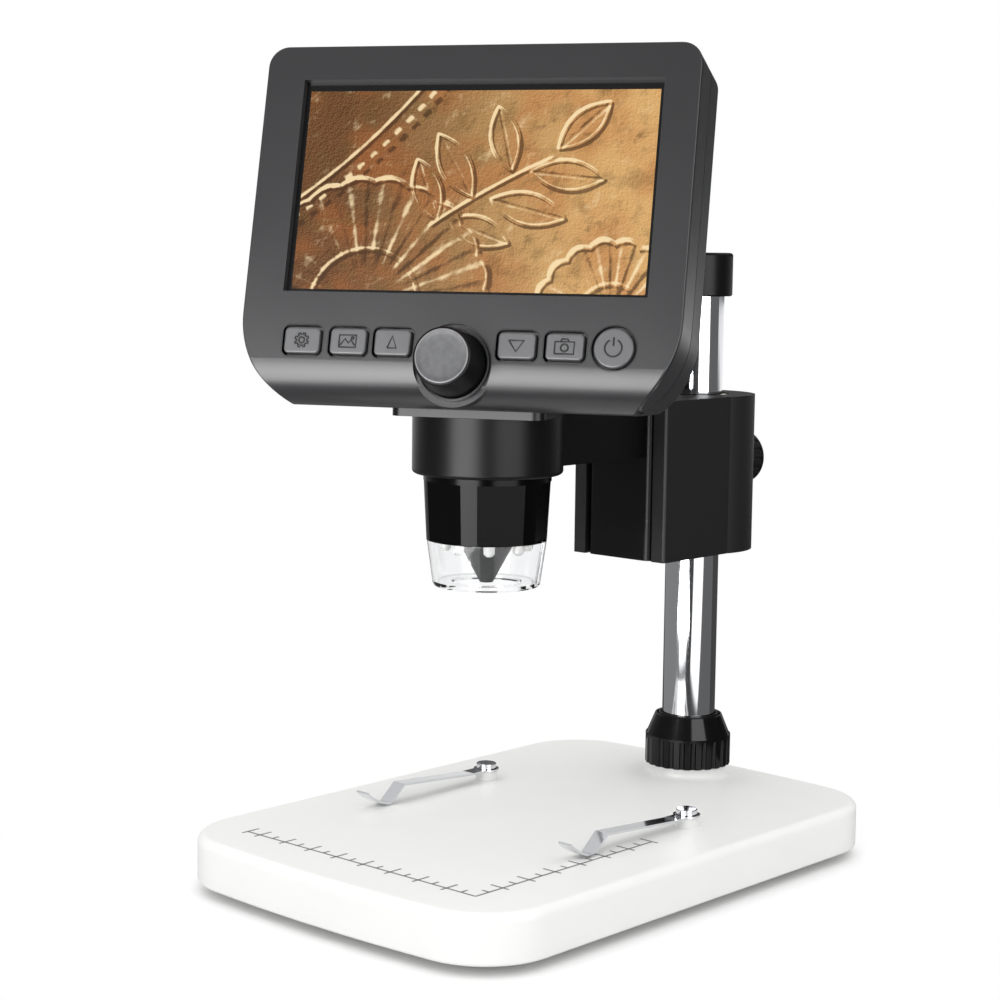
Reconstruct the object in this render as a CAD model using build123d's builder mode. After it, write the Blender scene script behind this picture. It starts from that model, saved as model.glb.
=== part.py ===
from build123d import *
from math import acos, cos, pi, radians, sin, sqrt, tan
import os

# LCD digital microscope: a camera head with its own screen, carried by a slider on a column stand.
# Millimetres. +Z is up, the user sits on the -Y side, and the feet stand on Z = 0.
os.makedirs("parts", exist_ok=True)

# ------------------------------------------------------------------ driving sizes
# Plan. The origin is the middle of the whole object's outline: the turned head reaches past the
# base on the right, and the clamp knob past it at the back.
base_x, base_y = -2.9, -3.45
column_behind = 69.0  # column axis behind the base's middle
lens_ahead = 22.9  # optical axis ahead of the base's middle

# Base
base_width, base_depth = 120.0, 174.8
base_corner, base_bow = 21.0, 3.6  # corner radius, and how far front and back edges bow out
foot_height, stage_height = 2.8, 16.0
base_seam_height = 9.4
base_wall, base_edge_round = 2.2, 2.4
foot_radius, foot_seat = 7.5, 0.6
foot_span_x, foot_span_y = 86.0, 128.0
base_screw_span_x, base_screw_span_y = 64.0, 146.0
boss_margin, boss_height = 0.6, 3.4
clip_span, clip_behind = 75.8, 19.3  # the clip posts, apart and behind the base's middle
post_radius, post_height = 3.3, 2.6

# Column
tube_radius, tube_wall = 8.0, 1.2
tube_top = 172.6
cap_skirt, cap_height, cap_wall = 2.3, 12.8, 1.6  # the skirt's wall round the tube, and the top's
collet_wall, spigot_wall, spigot_height = 1.3, 1.8, 9.0
nut_wall, nut_band, nut_cone, nut_top_wall = 1.7, 9.0, 6.1, 2.1  # round the spigot, and round the tube
nut_grooves, nut_groove_radius = 24, 0.85

# Slider
block_half, block_height, block_bottom = 17.0, 46.4, 85.9
block_front = 35.6  # front face ahead of the column axis
block_back_radius, block_edge_round, plate_edge_round = 17.8, 0.8, 2.2
channel_half, channel_lip, channel_depth = 12.4, 3.0, 8.0
tongue_extra = 1.8
liner_wall, liner_split = 2.0, 2.4
ring_radius, ring_height, ring_wall, ring_round = 20.5, 16.2, 2.9, 1.1
ring_bottom = 114.6
arm_half, arm_height = 10.0, 14.4
clamp_knob_radius, clamp_knob_length, clamp_stem_radius = 8.2, 7.0, 2.5
clamp_grooves, clamp_groove_radius, clamp_rim = 18, 0.6, 1.4
clamp_height = 25.8  # above the slider's bottom
pad_radius, pad_length = 3.6, 2.6

# Head
head_turn, head_lean = 25.9, 15.4  # degrees about the barrel, and back from upright
screen_ahead, screen_height = 18.3, 189.8  # screen's middle from the optical axis, and above the table
head_half, head_top, head_bottom = 58.85, 38.7, -60.0
head_top_corner, head_low_corner = 5.5, 26.0
face_depth, seam_depth, back_depth = 2.2, -10.5, -20.2  # along the screen's normal from its surface
face_plate, head_wall = 2.2, 2.2
chin_round, heel_round = 10.0, 3.0
face_edge_round, face_groove = 0.4, 0.6  # the groove runs round the head just behind its face
groove_wide, groove_deep = 0.5, 0.5
underside = 133.2
window_left, window_right, window_top, window_low = -48.1, 49.5, 29.4, -28.1
screen_shift = 0.8  # the picture's middle to the right of the head's
button_row = -41.3
button_places = (-41.25, -28.55, -16.4, 16.75, 29.35)
power_place = 41.95
button_width, button_height, button_corner, power_radius = 9.7, 6.8, 1.2, 5.1
button_gap, button_proud, button_travel = 0.72, 0.7, 0.6
knob_row, knob_face, knob_top_radius, knob_base_radius = -46.3, 11.4, 7.65, 8.8
knob_well_radius, knob_collar_wall, knob_moat_radius = 9.2, 0.5, 10.5
shaft_radius = 2.0

# Neck and barrel
neck_half, neck_back, neck_shoulder, neck_top = 19.6, 20.0, 158.0, 184.0
flange_half, flange_corner = 20.9, 3.0
barrel_wall = 2.2
grip_height, grip_top_radius, grip_low_radius, grip_wall = 17.9, 17.4, 16.45, 2.0
grip_flat_share = 0.925  # how near the axis the six flats come, as a share of the radius
clear_cap_height, clear_cap_low_radius, clear_cap_wall = 12.5, 14.6, 1.3
nose_top_radius, nose_tip_radius, nose_length = 7.2, 1.8, 10.0
carriage_radius, carriage_wall, carriage_length = 9.0, 2.6, 28.0
lens_lift, lens_drop = 7.0, 2.0  # travel of the lens up and down from rest

# Rack and pinion
gear_module, pinion_teeth, pressure_angle = 0.6, 10, radians(25)
addendum_share, gear_backlash = 0.8, 0.12
pinion_start, pinion_length = 19.0, 6.0  # behind the screen's surface, along the knob's axis

# Clearances
running = 0.05  # a shaft or tube that turns or slides in a bore
free = 0.3  # moving pieces that only pass each other
seat = 0.1  # pieces laid on each other

# ------------------------------------------------------------------ planes
base_plane = Plane(origin=(base_x, base_y, 0))
column_plane = Plane(origin=(base_x, base_y + column_behind, 0))
turn, lean = radians(head_turn), radians(head_lean)
up = Vector(0, 0, 1)
forward = Vector(sin(turn), -cos(turn), 0)
sideways = Vector(cos(turn), sin(turn), 0)
outward = forward * cos(lean) + up * sin(lean)
# Down the optical axis: X to the head's right, Y to its back, Z up.
lens_plane = Plane(origin=(base_x, base_y - lens_ahead, 0), x_dir=sideways, z_dir=up)
# The screen's surface: X to the right, Y up the face, Z out of it, from the head's middle line.
screen_plane = Plane(
    origin=lens_plane.origin + forward * screen_ahead + up * screen_height,
    x_dir=sideways,
    z_dir=outward,
)
# The head from its side: X out of the screen, Y up the face.
side_plane = Plane(origin=screen_plane.origin, x_dir=outward, z_dir=-sideways)
# The neck from its side: X ahead of the optical axis, Y up.
neck_side_plane = Plane(origin=lens_plane.origin, x_dir=forward, z_dir=forward.cross(up))
arm_plane = Plane(origin=(base_x, base_y - lens_ahead, 0))


def above(plane, height):
    """The same plane, lifted along Z."""
    return plane.offset(height)


def underside_at(depth, height=underside):
    """How far down the face a level plane at this height cuts it, at a depth along the normal."""
    return (height - screen_height - depth * sin(lean)) / cos(lean)


def ahead_at(depth, height):
    """How far ahead of the optical axis a depth behind the screen lies, at a height."""
    rise = (height - screen_height - depth * sin(lean)) / cos(lean)
    return screen_ahead - rise * sin(lean) + depth * cos(lean)


pieces = {}

# ------------------------------------------------------------------ base
stage = stage_height


def base_outline(inset=0.0):
    """Plan of the base: straight sides, bowed front and back, round corners."""
    half_w, half_d = base_width / 2, base_depth / 2
    side = half_d - base_bow
    with BuildSketch() as outline:
        with BuildLine():
            Line((half_w, -side), (half_w, side))
            ThreePointArc((half_w, side), (0, half_d), (-half_w, side))
            Line((-half_w, side), (-half_w, -side))
            ThreePointArc((-half_w, -side), (0, -half_d), (half_w, -side))
        make_face()
        fillet(outline.vertices(), base_corner)
        if inset:
            offset(amount=-inset)
    return outline.sketch


spigot_radius = tube_radius + running + collet_wall + running + spigot_wall
boss_radius = spigot_radius + boss_margin
nut_radius = spigot_radius + nut_wall
nut_top_radius = tube_radius + nut_top_wall
cap_radius = tube_radius + cap_skirt
column_hole = tube_radius + running
collet_hole = column_hole + collet_wall + running
socket_floor = foot_height + base_wall + 2.0
boss_fillet, collet_step = 1.6, 1.0
anchor_radius = 2.5
boss_top = stage + boss_height
screw_boss_radius, screw_radius, screw_head_radius, screw_head = 3.6, 1.4, 2.8, 1.6

# Top shell: stage, rim, clip posts, and the column's boss, spigot and socket.
with BuildPart() as base_top_shell:
    with BuildSketch(above(base_plane, base_seam_height)):
        add(base_outline())
    extrude(amount=stage - base_seam_height)
    fillet(base_top_shell.faces().sort_by(Axis.Z)[-1].edges(), base_edge_round)
    with BuildSketch(above(base_plane, base_seam_height)):
        add(base_outline(base_wall))
    extrude(amount=stage - base_wall - base_seam_height, mode=Mode.SUBTRACT)
    with BuildSketch(above(column_plane, foot_height + base_wall)):
        Circle(spigot_radius)
    extrude(amount=boss_top + spigot_height - foot_height - base_wall)
    with BuildSketch(above(column_plane, stage)):
        Circle(boss_radius)
    extrude(amount=boss_height)
    fillet(
        base_top_shell.edges()
        .filter_by(GeomType.CIRCLE)
        .filter_by(lambda e: abs(e.radius - boss_radius) < 0.01)
        .sort_by(Axis.Z)[0],
        boss_fillet,
    )
    with BuildSketch(above(base_plane, foot_height + base_wall)):
        with GridLocations(base_screw_span_x, base_screw_span_y, 2, 2):
            Circle(screw_boss_radius)
    extrude(amount=stage - foot_height - 2 * base_wall)
    with BuildSketch(above(base_plane, stage)):
        with Locations((0, clip_behind)):
            with GridLocations(clip_span, 1, 2, 1):
                Circle(post_radius)
    extrude(amount=post_height)
    # the column's socket, with its floor, and the wider bore that takes the collet above the stage
    with BuildSketch(above(column_plane, socket_floor)):
        Circle(column_hole)
    extrude(amount=boss_top + spigot_height - socket_floor, mode=Mode.SUBTRACT)
    with BuildSketch(above(column_plane, boss_top - collet_step)):
        Circle(collet_hole)
    extrude(amount=spigot_height + collet_step, mode=Mode.SUBTRACT)
    with BuildSketch(above(column_plane, 0)):
        Circle(anchor_radius + running)
    extrude(amount=socket_floor, mode=Mode.SUBTRACT)
    with BuildSketch(base_plane):
        with GridLocations(base_screw_span_x, base_screw_span_y, 2, 2):
            Circle(screw_radius)
        with Locations((0, clip_behind)):
            with GridLocations(clip_span, 1, 2, 1):
                Circle(screw_radius)
    extrude(amount=stage - base_wall, mode=Mode.SUBTRACT)
    with BuildSketch(above(base_plane, stage - base_wall)):
        with Locations((0, clip_behind)):
            with GridLocations(clip_span, 1, 2, 1):
                Circle(screw_radius)
    extrude(amount=base_wall + post_height, mode=Mode.SUBTRACT)
pieces["base_top_shell"] = base_top_shell

# Bottom cover: a tray that meets the shell at the seam, with a locating lip and feet recesses.
anchor_head_radius, anchor_head = 5.0, 1.9
with BuildPart() as base_bottom_cover:
    with BuildSketch(above(base_plane, foot_height)):
        add(base_outline())
    extrude(amount=base_seam_height - foot_height)
    fillet(base_bottom_cover.faces().sort_by(Axis.Z)[0].edges(), 1.0)
    with BuildSketch(above(base_plane, foot_height + base_wall)):
        add(base_outline(base_wall))
    extrude(amount=base_seam_height, mode=Mode.SUBTRACT)
    with BuildSketch(base_plane):
        with GridLocations(foot_span_x, foot_span_y, 2, 2):
            Circle(foot_radius + seat)
    extrude(amount=foot_height + foot_seat, mode=Mode.SUBTRACT)
    with BuildSketch(base_plane):
        with GridLocations(base_screw_span_x, base_screw_span_y, 2, 2):
            Circle(screw_head_radius + seat)
    extrude(amount=foot_height + screw_head, mode=Mode.SUBTRACT)
    with BuildSketch(base_plane):
        with GridLocations(base_screw_span_x, base_screw_span_y, 2, 2):
            Circle(screw_radius + seat)
    extrude(amount=base_seam_height, mode=Mode.SUBTRACT)
    with BuildSketch(column_plane):
        Circle(anchor_head_radius + seat)
    extrude(amount=base_seam_height, mode=Mode.SUBTRACT)
pieces["base_bottom_cover"] = base_bottom_cover

with BuildPart() as rubber_feet:
    with BuildSketch(base_plane):
        with GridLocations(foot_span_x, foot_span_y, 2, 2):
            Circle(foot_radius)
    extrude(amount=foot_height + foot_seat)
    chamfer(rubber_feet.faces().filter_by(Axis.Z).group_by(Axis.Z)[0].edges(), 0.5)
pieces["rubber_feet"] = rubber_feet


def screws(name, plane, places, radius, head_radius, head, length):
    """A group of like screws: heads down on the plane, shanks up its normal, with a cross recess."""
    with BuildPart() as group:
        with BuildSketch(plane):
            with Locations(*places):
                Circle(head_radius)
        extrude(amount=head)
        with BuildSketch(plane.offset(head)):
            with Locations(*places):
                Circle(radius)
        extrude(amount=length)
        with BuildSketch(plane):
            with Locations(*places):
                Rectangle(head_radius * 1.1, head_radius * 0.28)
                Rectangle(head_radius * 0.28, head_radius * 1.1)
        extrude(amount=head * 0.6, mode=Mode.SUBTRACT)
    pieces[name] = group


grid_corners = [(x, y) for x in (-0.5, 0.5) for y in (-0.5, 0.5)]
screws(
    "base_screws",
    above(base_plane, foot_height),
    [(x * base_screw_span_x, y * base_screw_span_y) for x, y in grid_corners],
    screw_radius,
    screw_head_radius,
    screw_head,
    8.0,
)

# ------------------------------------------------------------------ column
with BuildPart() as column_tube:
    with BuildSketch(above(column_plane, socket_floor)):
        Circle(tube_radius)
        Circle(tube_radius - tube_wall, mode=Mode.SUBTRACT)
    extrude(amount=tube_top - socket_floor)
pieces["column_tube"] = column_tube

plug_length = 10.0
with BuildPart() as column_plug:
    with BuildSketch(above(column_plane, socket_floor)):
        Circle(tube_radius - tube_wall)
        Circle(anchor_radius, mode=Mode.SUBTRACT)
    extrude(amount=plug_length)
pieces["column_plug"] = column_plug

anchor_seat = foot_height + base_wall
screws(
    "column_anchor_screw",
    above(column_plane, anchor_seat - anchor_head),
    [(0, 0)],
    anchor_radius,
    anchor_head_radius,
    anchor_head,
    socket_floor - anchor_seat + plug_length - 1,
)

cap_top = tube_top + cap_wall
with BuildPart() as column_cap:
    with BuildSketch(above(column_plane, cap_top - cap_height)):
        Circle(cap_radius)
    extrude(amount=cap_height)
    fillet(column_cap.faces().sort_by(Axis.Z)[-1].edges(), 1.0)
    chamfer(column_cap.faces().sort_by(Axis.Z)[0].edges(), 0.4)
    with BuildSketch(above(column_plane, cap_top - cap_height)):
        Circle(tube_radius + running)
    extrude(amount=cap_height - cap_wall, mode=Mode.SUBTRACT)
pieces["column_cap"] = column_cap

# Collet: a split sleeve between the tube and the spigot, squeezed by the collar nut.
collet_proud, collet_tip, collet_split = 0.5, 1.0, 1.0
collet_top = boss_top + nut_band + nut_cone + collet_proud
with BuildPart() as column_collet:
    with BuildSketch(above(column_plane, boss_top - collet_step)):
        Circle(column_hole + collet_wall)
        Circle(column_hole, mode=Mode.SUBTRACT)
        for angle in (45, 135):
            Rectangle(3 * tube_radius, collet_split, rotation=angle, mode=Mode.SUBTRACT)
    extrude(amount=collet_top - collet_tip - (boss_top - collet_step))
    with BuildSketch(above(column_plane, collet_top - collet_tip)):
        Circle(column_hole + collet_wall)
        Circle(column_hole, mode=Mode.SUBTRACT)
    extrude(amount=collet_tip, taper=25)
pieces["column_collet"] = column_collet

# Collar nut: grooved band, cone above, bored for the spigot and stepped in over the collet.
nut_bottom = boss_top + seat
nut_shoulder = nut_bottom + nut_band
with BuildPart() as collar_nut:
    with BuildSketch(above(column_plane, nut_bottom)):
        Circle(nut_radius)
    extrude(amount=nut_band)
    with BuildSketch(above(column_plane, nut_bottom)):
        with PolarLocations(nut_radius + nut_groove_radius * 0.25, nut_grooves):
            Circle(nut_groove_radius)
    extrude(amount=nut_band - 0.7, mode=Mode.SUBTRACT)
    with BuildSketch(above(column_plane, nut_shoulder)):
        Circle(nut_radius - 0.3)
    with BuildSketch(above(column_plane, nut_shoulder + nut_cone)):
        Circle(nut_top_radius)
    loft()
    with BuildSketch(above(column_plane, nut_bottom)):
        Circle(spigot_radius + seat)
    extrude(amount=spigot_height + 0.4, mode=Mode.SUBTRACT)
    with BuildSketch(above(column_plane, nut_bottom)):
        Circle(column_hole + collet_wall + 0.25)
    extrude(amount=nut_band + nut_cone, mode=Mode.SUBTRACT)
pieces["collar_nut"] = collar_nut

# ------------------------------------------------------------------ stage clips
# A spring strip, side view from the post forward: along, up to the knee, down to the toe, and a
# lip that curls up from it. It turns on the post under a round chrome screw.
clip_width, clip_thick, clip_eye_radius = 4.4, 0.6, 3.8
clip_knee, clip_knee_rise = 37.0, 5.0
clip_toe, clip_tip, clip_tip_rise = 42.4, 52.0, 4.6
clip_knob_radius, clip_knob_height = 3.0, 1.5
strip_bottom = stage + post_height + seat


def stage_clip(name, x):
    """One clip: the strip's side profile swept across its width, with a round eye on the post."""
    post_plane = Plane(origin=(base_x + x, base_y + clip_behind, 0))
    profile_plane = Plane(origin=post_plane.origin, x_dir=(0, -1, 0), z_dir=(-1, 0, 0))
    toe_height = stage + 0.15 + clip_thick / 2
    with BuildPart() as strip:
        with BuildSketch(profile_plane):
            with BuildLine() as path:
                Polyline(
                    (0, strip_bottom + clip_thick / 2),
                    (8, strip_bottom + clip_thick / 2),
                    (clip_knee, stage + clip_knee_rise),
                    (clip_toe, toe_height),
                )
                ThreePointArc(
                    (clip_toe, toe_height),
                    ((clip_toe + clip_tip) / 2 + 0.6, toe_height + clip_tip_rise * 0.36),
                    (clip_tip, toe_height + clip_tip_rise),
                )
            trace(path.wires()[0], clip_thick)
        extrude(amount=clip_width / 2, both=True)
        with BuildSketch(post_plane.offset(strip_bottom)):
            Circle(clip_eye_radius)
        extrude(amount=clip_thick)
        with BuildSketch(post_plane):
            Circle(screw_radius + running)
        extrude(amount=2 * stage, mode=Mode.SUBTRACT)
    pieces[f"stage_clip_{name}"] = strip
    with BuildPart() as knob:
        with BuildSketch(post_plane.offset(strip_bottom + clip_thick + seat)):
            Circle(clip_knob_radius)
        extrude(amount=clip_knob_height)
        fillet(knob.faces().sort_by(Axis.Z)[-1].edges(), 0.3)
        with BuildSketch(post_plane.offset(stage - base_wall)):
            Circle(screw_radius)
        extrude(amount=base_wall + post_height + clip_thick + 2 * seat)
    pieces[f"clip_screw_{name}"] = knob


stage_clip("left", -clip_span / 2)
stage_clip("right", clip_span / 2)

# ------------------------------------------------------------------ slider
block_top = block_bottom + block_height
liner_radius = tube_radius + running + liner_wall
tongue_half = channel_half + tongue_extra
clamp_level = block_bottom + clamp_height
pad_face = liner_radius + running
block_back = block_back_radius
# The clamp's own plane: X to the left, Z forward, on the column axis at the knob's height.
clamp_plane = Plane(
    origin=(base_x, base_y + column_behind, clamp_level), x_dir=(-1, 0, 0), z_dir=(0, 1, 0)
)

with BuildPart() as slider_block:
    with BuildSketch(above(column_plane, block_bottom)):
        with Locations((0, -block_front / 2)):
            Rectangle(2 * block_half, block_front)
        Circle(block_back_radius)
    extrude(amount=block_height)
    fillet(
        slider_block.edges().filter_by(Axis.Z).group_by(Axis.Y)[0],
        block_edge_round,
    )
    # the channel that takes the holder's tongue, undercut behind its lips
    with BuildSketch(above(column_plane, block_bottom)):
        with Locations((0, -block_front + channel_lip / 2)):
            Rectangle(2 * channel_half, channel_lip)
        with Locations((0, -block_front + (channel_lip + channel_depth) / 2)):
            Rectangle(2 * tongue_half, channel_depth - channel_lip)
    extrude(amount=block_height, mode=Mode.SUBTRACT)
    with BuildSketch(above(column_plane, block_bottom)):
        Circle(liner_radius + running)
    extrude(amount=block_height, mode=Mode.SUBTRACT)
    # bore for the pressure pad, then the clamp screw's thread
    with BuildSketch(clamp_plane):
        Circle(pad_radius + running)
    extrude(amount=pad_face + pad_length + 1.0, mode=Mode.SUBTRACT)
    with BuildSketch(clamp_plane):
        Circle(clamp_stem_radius + running)
    extrude(amount=block_back + 1, mode=Mode.SUBTRACT)
pieces["slider_block"] = slider_block

with BuildPart() as column_liner:
    with BuildSketch(above(column_plane, block_bottom + 0.4)):
        Circle(liner_radius)
        Circle(tube_radius + running, mode=Mode.SUBTRACT)
        with Locations((0, -liner_radius)):
            Rectangle(liner_split, 2 * liner_radius - tube_radius, mode=Mode.SUBTRACT)
    extrude(amount=block_height - 0.8)
pieces["column_liner"] = column_liner

with BuildPart() as clamp_pad:
    with BuildSketch(clamp_plane):
        Circle(pad_radius)
    extrude(amount=pad_face + pad_length)
    with BuildSketch(above(column_plane, 0)):
        Circle(pad_face)
    extrude(amount=block_top, mode=Mode.SUBTRACT)
    with BuildSketch(above(column_plane, 0)):
        with Locations((0, -pad_face)):
            Rectangle(4 * pad_radius, 2 * pad_face)
    extrude(amount=block_top, mode=Mode.SUBTRACT)
pieces["clamp_pad"] = clamp_pad

knob_seat = block_back + 0.4
with BuildPart() as clamp_knob:
    with BuildSketch(clamp_plane.offset(knob_seat)):
        Circle(clamp_knob_radius)
    extrude(amount=clamp_knob_length)
    fillet(clamp_knob.faces().sort_by(Axis.Y)[-1].edges(), 1.0)
    with BuildSketch(clamp_plane.offset(knob_seat)):
        with PolarLocations(clamp_knob_radius + 0.4 * clamp_groove_radius, clamp_grooves):
            Circle(clamp_groove_radius)
    extrude(amount=clamp_knob_length - clamp_rim, mode=Mode.SUBTRACT)
    with BuildSketch(clamp_plane.offset(pad_face + pad_length + 0.1)):
        Circle(clamp_stem_radius)
    extrude(amount=knob_seat + 2 - pad_face - pad_length)
pieces["clamp_knob"] = clamp_knob

# Holder: a ring round the barrel, a short arm, and the plate and tongue that fill the channel.
ring_bore = ring_radius - ring_wall
ring_top = ring_bottom + ring_height
plate_gap = 0.8
plate_front = column_behind + lens_ahead - block_front  # behind the optical axis
arm_top = ring_top - 0.5
with BuildPart() as holder_arm:
    with BuildSketch(above(arm_plane, block_bottom)):
        with Locations((0, plate_front + (channel_depth - seat) / 2)):
            Rectangle(2 * (channel_half - plate_gap), channel_depth - seat)
        with Locations((0, plate_front + (channel_lip + channel_depth) / 2)):
            Rectangle(2 * (tongue_half - seat), channel_depth - channel_lip - 2 * seat)
    extrude(amount=block_height)
    fillet(holder_arm.edges().filter_by(Axis.Z).group_by(Axis.Y)[0], plate_edge_round)
    with BuildSketch(above(arm_plane, arm_top - arm_height)):
        with Locations((0, (plate_front + channel_lip) / 2)):
            Rectangle(2 * arm_half, plate_front + channel_lip)
    extrude(amount=arm_height)
    with BuildSketch(above(arm_plane, ring_bottom)):
        Circle(ring_radius)
    extrude(amount=ring_height)
    fillet(
        holder_arm.edges()
        .filter_by(GeomType.CIRCLE)
        .filter_by(lambda e: abs(e.radius - ring_radius) < 0.01)
        .group_by(Axis.Z)[0],
        ring_round,
    )
    with BuildSketch(above(arm_plane, ring_bottom)):
        Circle(ring_bore)
    extrude(amount=ring_height, mode=Mode.SUBTRACT)
pieces["holder_arm"] = holder_arm

# ------------------------------------------------------------------ head casings


def head_outline(inset=0.0):
    """Front view of the head: small upper corners and wide lower ones."""
    with BuildSketch() as outline:
        with Locations((0, (head_top + head_bottom) / 2)):
            Rectangle(2 * head_half, head_top - head_bottom)
        fillet(outline.vertices().group_by(Axis.Y)[-1], head_top_corner)
        fillet(outline.vertices().group_by(Axis.Y)[0], head_low_corner)
        if inset:
            offset(amount=-inset)
    return outline.sketch


def head_profile(inset=0.0):
    """Side view of the head: the face rolls under at the chin into a level underside."""
    near, far = face_depth - inset, back_depth + inset
    level = underside + inset
    top = head_top + 5
    with BuildSketch() as profile:
        with BuildLine():
            Polyline(
                (near, top),
                (near, underside_at(near, level)),
                (far, underside_at(far, level)),
                (far, top),
                close=True,
            )
        make_face()
        fillet(profile.vertices().sort_by(Axis.Y)[0], chin_round - inset)
        fillet(profile.vertices().sort_by(Axis.X).group_by(Axis.Y)[1][0], max(heel_round - inset, 0.5))
    return profile.sketch


def head_form(near, far, inset=0.0):
    """The head's rounded form between two depths, inset all round."""
    with BuildPart() as form:
        with BuildSketch(screen_plane.offset(far)):
            add(head_outline(inset))
        extrude(amount=near - far)
        with BuildSketch(side_plane):
            add(head_profile(inset))
        extrude(amount=head_half + 10, both=True, mode=Mode.INTERSECT)
    return form.part


# Places shared by the casings and what they hold
head_screw_places = [(-48, 34.6), (48, 34.6), (-50, -34.3), (50, -34.3)]
head_boss_radius, head_screw_radius, head_screw_head_radius = 2.5, 1.2, 2.2
port_row, port_width, port_thick = 8.0, 8.0, 2.8
slot_row, slot_width, slot_thick = -8.0, 14.0, 1.8
board_front, board_thick = -7.0, 1.6
board_top, board_low = 28.0, -30.0
board_left, board_right = -(head_half - head_wall - 0.9), head_half - head_wall - 4.9
wheel_row, wheel_radius, wheel_thick, wheel_proud = 22.0, 6.5, 2.4, 1.3
wheel_grooves, wheel_groove_radius = 24, 0.4
wheel_centre = -head_half - wheel_proud + wheel_radius
wheel_front = board_front + 0.3 + wheel_thick
bushing_radius, bushing_end = 3.4, -12.0
button_spots = [(x, button_row) for x in button_places]
well_floor = face_depth - 1.8
moat_floor, collar_top, knob_pad_back = well_floor + 0.2, face_depth - 0.5, -2.6
knob_backing = 0.5


# Openings in the left wall: data port, card slot and dimmer wheel, each as row, width, near, far.
wall_openings = [
    (port_row, port_width + 0.4, board_front + port_thick + 0.2, board_front - 0.2),
    (slot_row, slot_width - 2, board_front + slot_thick + 0.1, board_front + 0.2),
    (wheel_row, 2 * wheel_radius, wheel_front + 0.3, board_front),
]

with BuildPart() as groove_core:
    with BuildSketch(screen_plane.offset(back_depth)):
        add(head_outline(groove_deep))
    extrude(amount=face_depth - back_depth)

# Grooves round the head: one follows the face's edge and rolls under with it, one is the casings' seam.
with BuildPart() as edge_groove:
    with BuildSketch(side_plane):
        add(head_profile(face_groove))
        add(head_profile(face_groove + groove_wide), mode=Mode.SUBTRACT)
    extrude(amount=head_half + 10, both=True)
    add(groove_core.part, mode=Mode.SUBTRACT)
with BuildPart() as seam_groove:
    with BuildSketch(screen_plane.offset(seam_depth)):
        Rectangle(3 * head_half, 3 * head_half)
    extrude(amount=groove_wide)
    add(head_form(seam_depth + 1, seam_depth - 1, groove_deep), mode=Mode.SUBTRACT)

with BuildPart() as front_shell:
    add(head_form(face_depth, seam_depth))
    fillet(front_shell.faces().sort_by(Axis(screen_plane.origin, outward))[-1].outer_wire().edges(), face_edge_round)
    add(edge_groove.part, mode=Mode.SUBTRACT)
    add(seam_groove.part, mode=Mode.SUBTRACT)
    add(head_form(face_depth - face_plate, seam_depth - 1, head_wall), mode=Mode.SUBTRACT)
    # screw bosses and the pad under the focus knob
    with BuildSketch(screen_plane.offset(seam_depth)):
        with Locations(*head_screw_places):
            Circle(head_boss_radius)
    extrude(amount=face_depth - face_plate - seam_depth)
    with BuildSketch(screen_plane.offset(knob_pad_back)):
        with Locations((0, knob_row)):
            Circle(knob_moat_radius + knob_backing)
    extrude(amount=face_depth - face_plate + 0.2 - knob_pad_back)
    # moat round the knob's collar, then the collar itself, which stands clear where the chin rolls away
    with BuildSketch(screen_plane.offset(moat_floor)):
        with Locations((0, knob_row)):
            Circle(knob_moat_radius)
    extrude(amount=face_depth, mode=Mode.SUBTRACT)
    with BuildSketch(screen_plane.offset(knob_pad_back)):
        with Locations((0, knob_row)):
            Circle(knob_well_radius + knob_collar_wall)
    extrude(amount=collar_top - knob_pad_back)
    with BuildSketch(screen_plane.offset(well_floor)):
        with Locations((0, knob_row)):
            Circle(knob_well_radius)
    extrude(amount=face_depth, mode=Mode.SUBTRACT)
    # openings: screen, buttons, bushing, and the screws' pilot holes
    with BuildSketch(screen_plane.offset(seam_depth)):
        with Locations(((window_left + window_right) / 2, (window_top + window_low) / 2)):
            Rectangle(window_right - window_left, window_top - window_low)
        with Locations(*button_spots):
            RectangleRounded(
                button_width + 2 * button_gap, button_height + 2 * button_gap, button_corner + button_gap
            )
        with Locations((power_place, button_row)):
            Circle(power_radius + button_gap)
        with Locations((0, knob_row)):
            Circle(bushing_radius)
    extrude(amount=face_depth + 1 - seam_depth, mode=Mode.SUBTRACT)
    with BuildSketch(screen_plane.offset(seam_depth)):
        with Locations(*head_screw_places):
            Circle(head_screw_radius)
    extrude(amount=8.0, mode=Mode.SUBTRACT)
    for row, width, near, far in wall_openings:
        with BuildSketch(screen_plane.offset(far)):
            with Locations((-head_half, row)):
                Rectangle(4 * head_wall, width)
        extrude(amount=near - far, mode=Mode.SUBTRACT)
pieces["front_shell"] = front_shell


def neck_profile(inset=0.0):
    """Side view of the neck behind the head: upright back, then a slope up to the casing's back."""
    inside = back_depth + 1.0 + inset
    with BuildSketch() as profile:
        with BuildLine():
            Polyline(
                (-neck_back + inset, underside),
                (-neck_back + inset, neck_shoulder),
                (ahead_at(back_depth, neck_top - inset), neck_top - inset),
                (ahead_at(inside, neck_top - inset), neck_top - inset),
                (ahead_at(inside, underside), underside),
                close=True,
            )
        make_face()
    return profile.sketch


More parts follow.
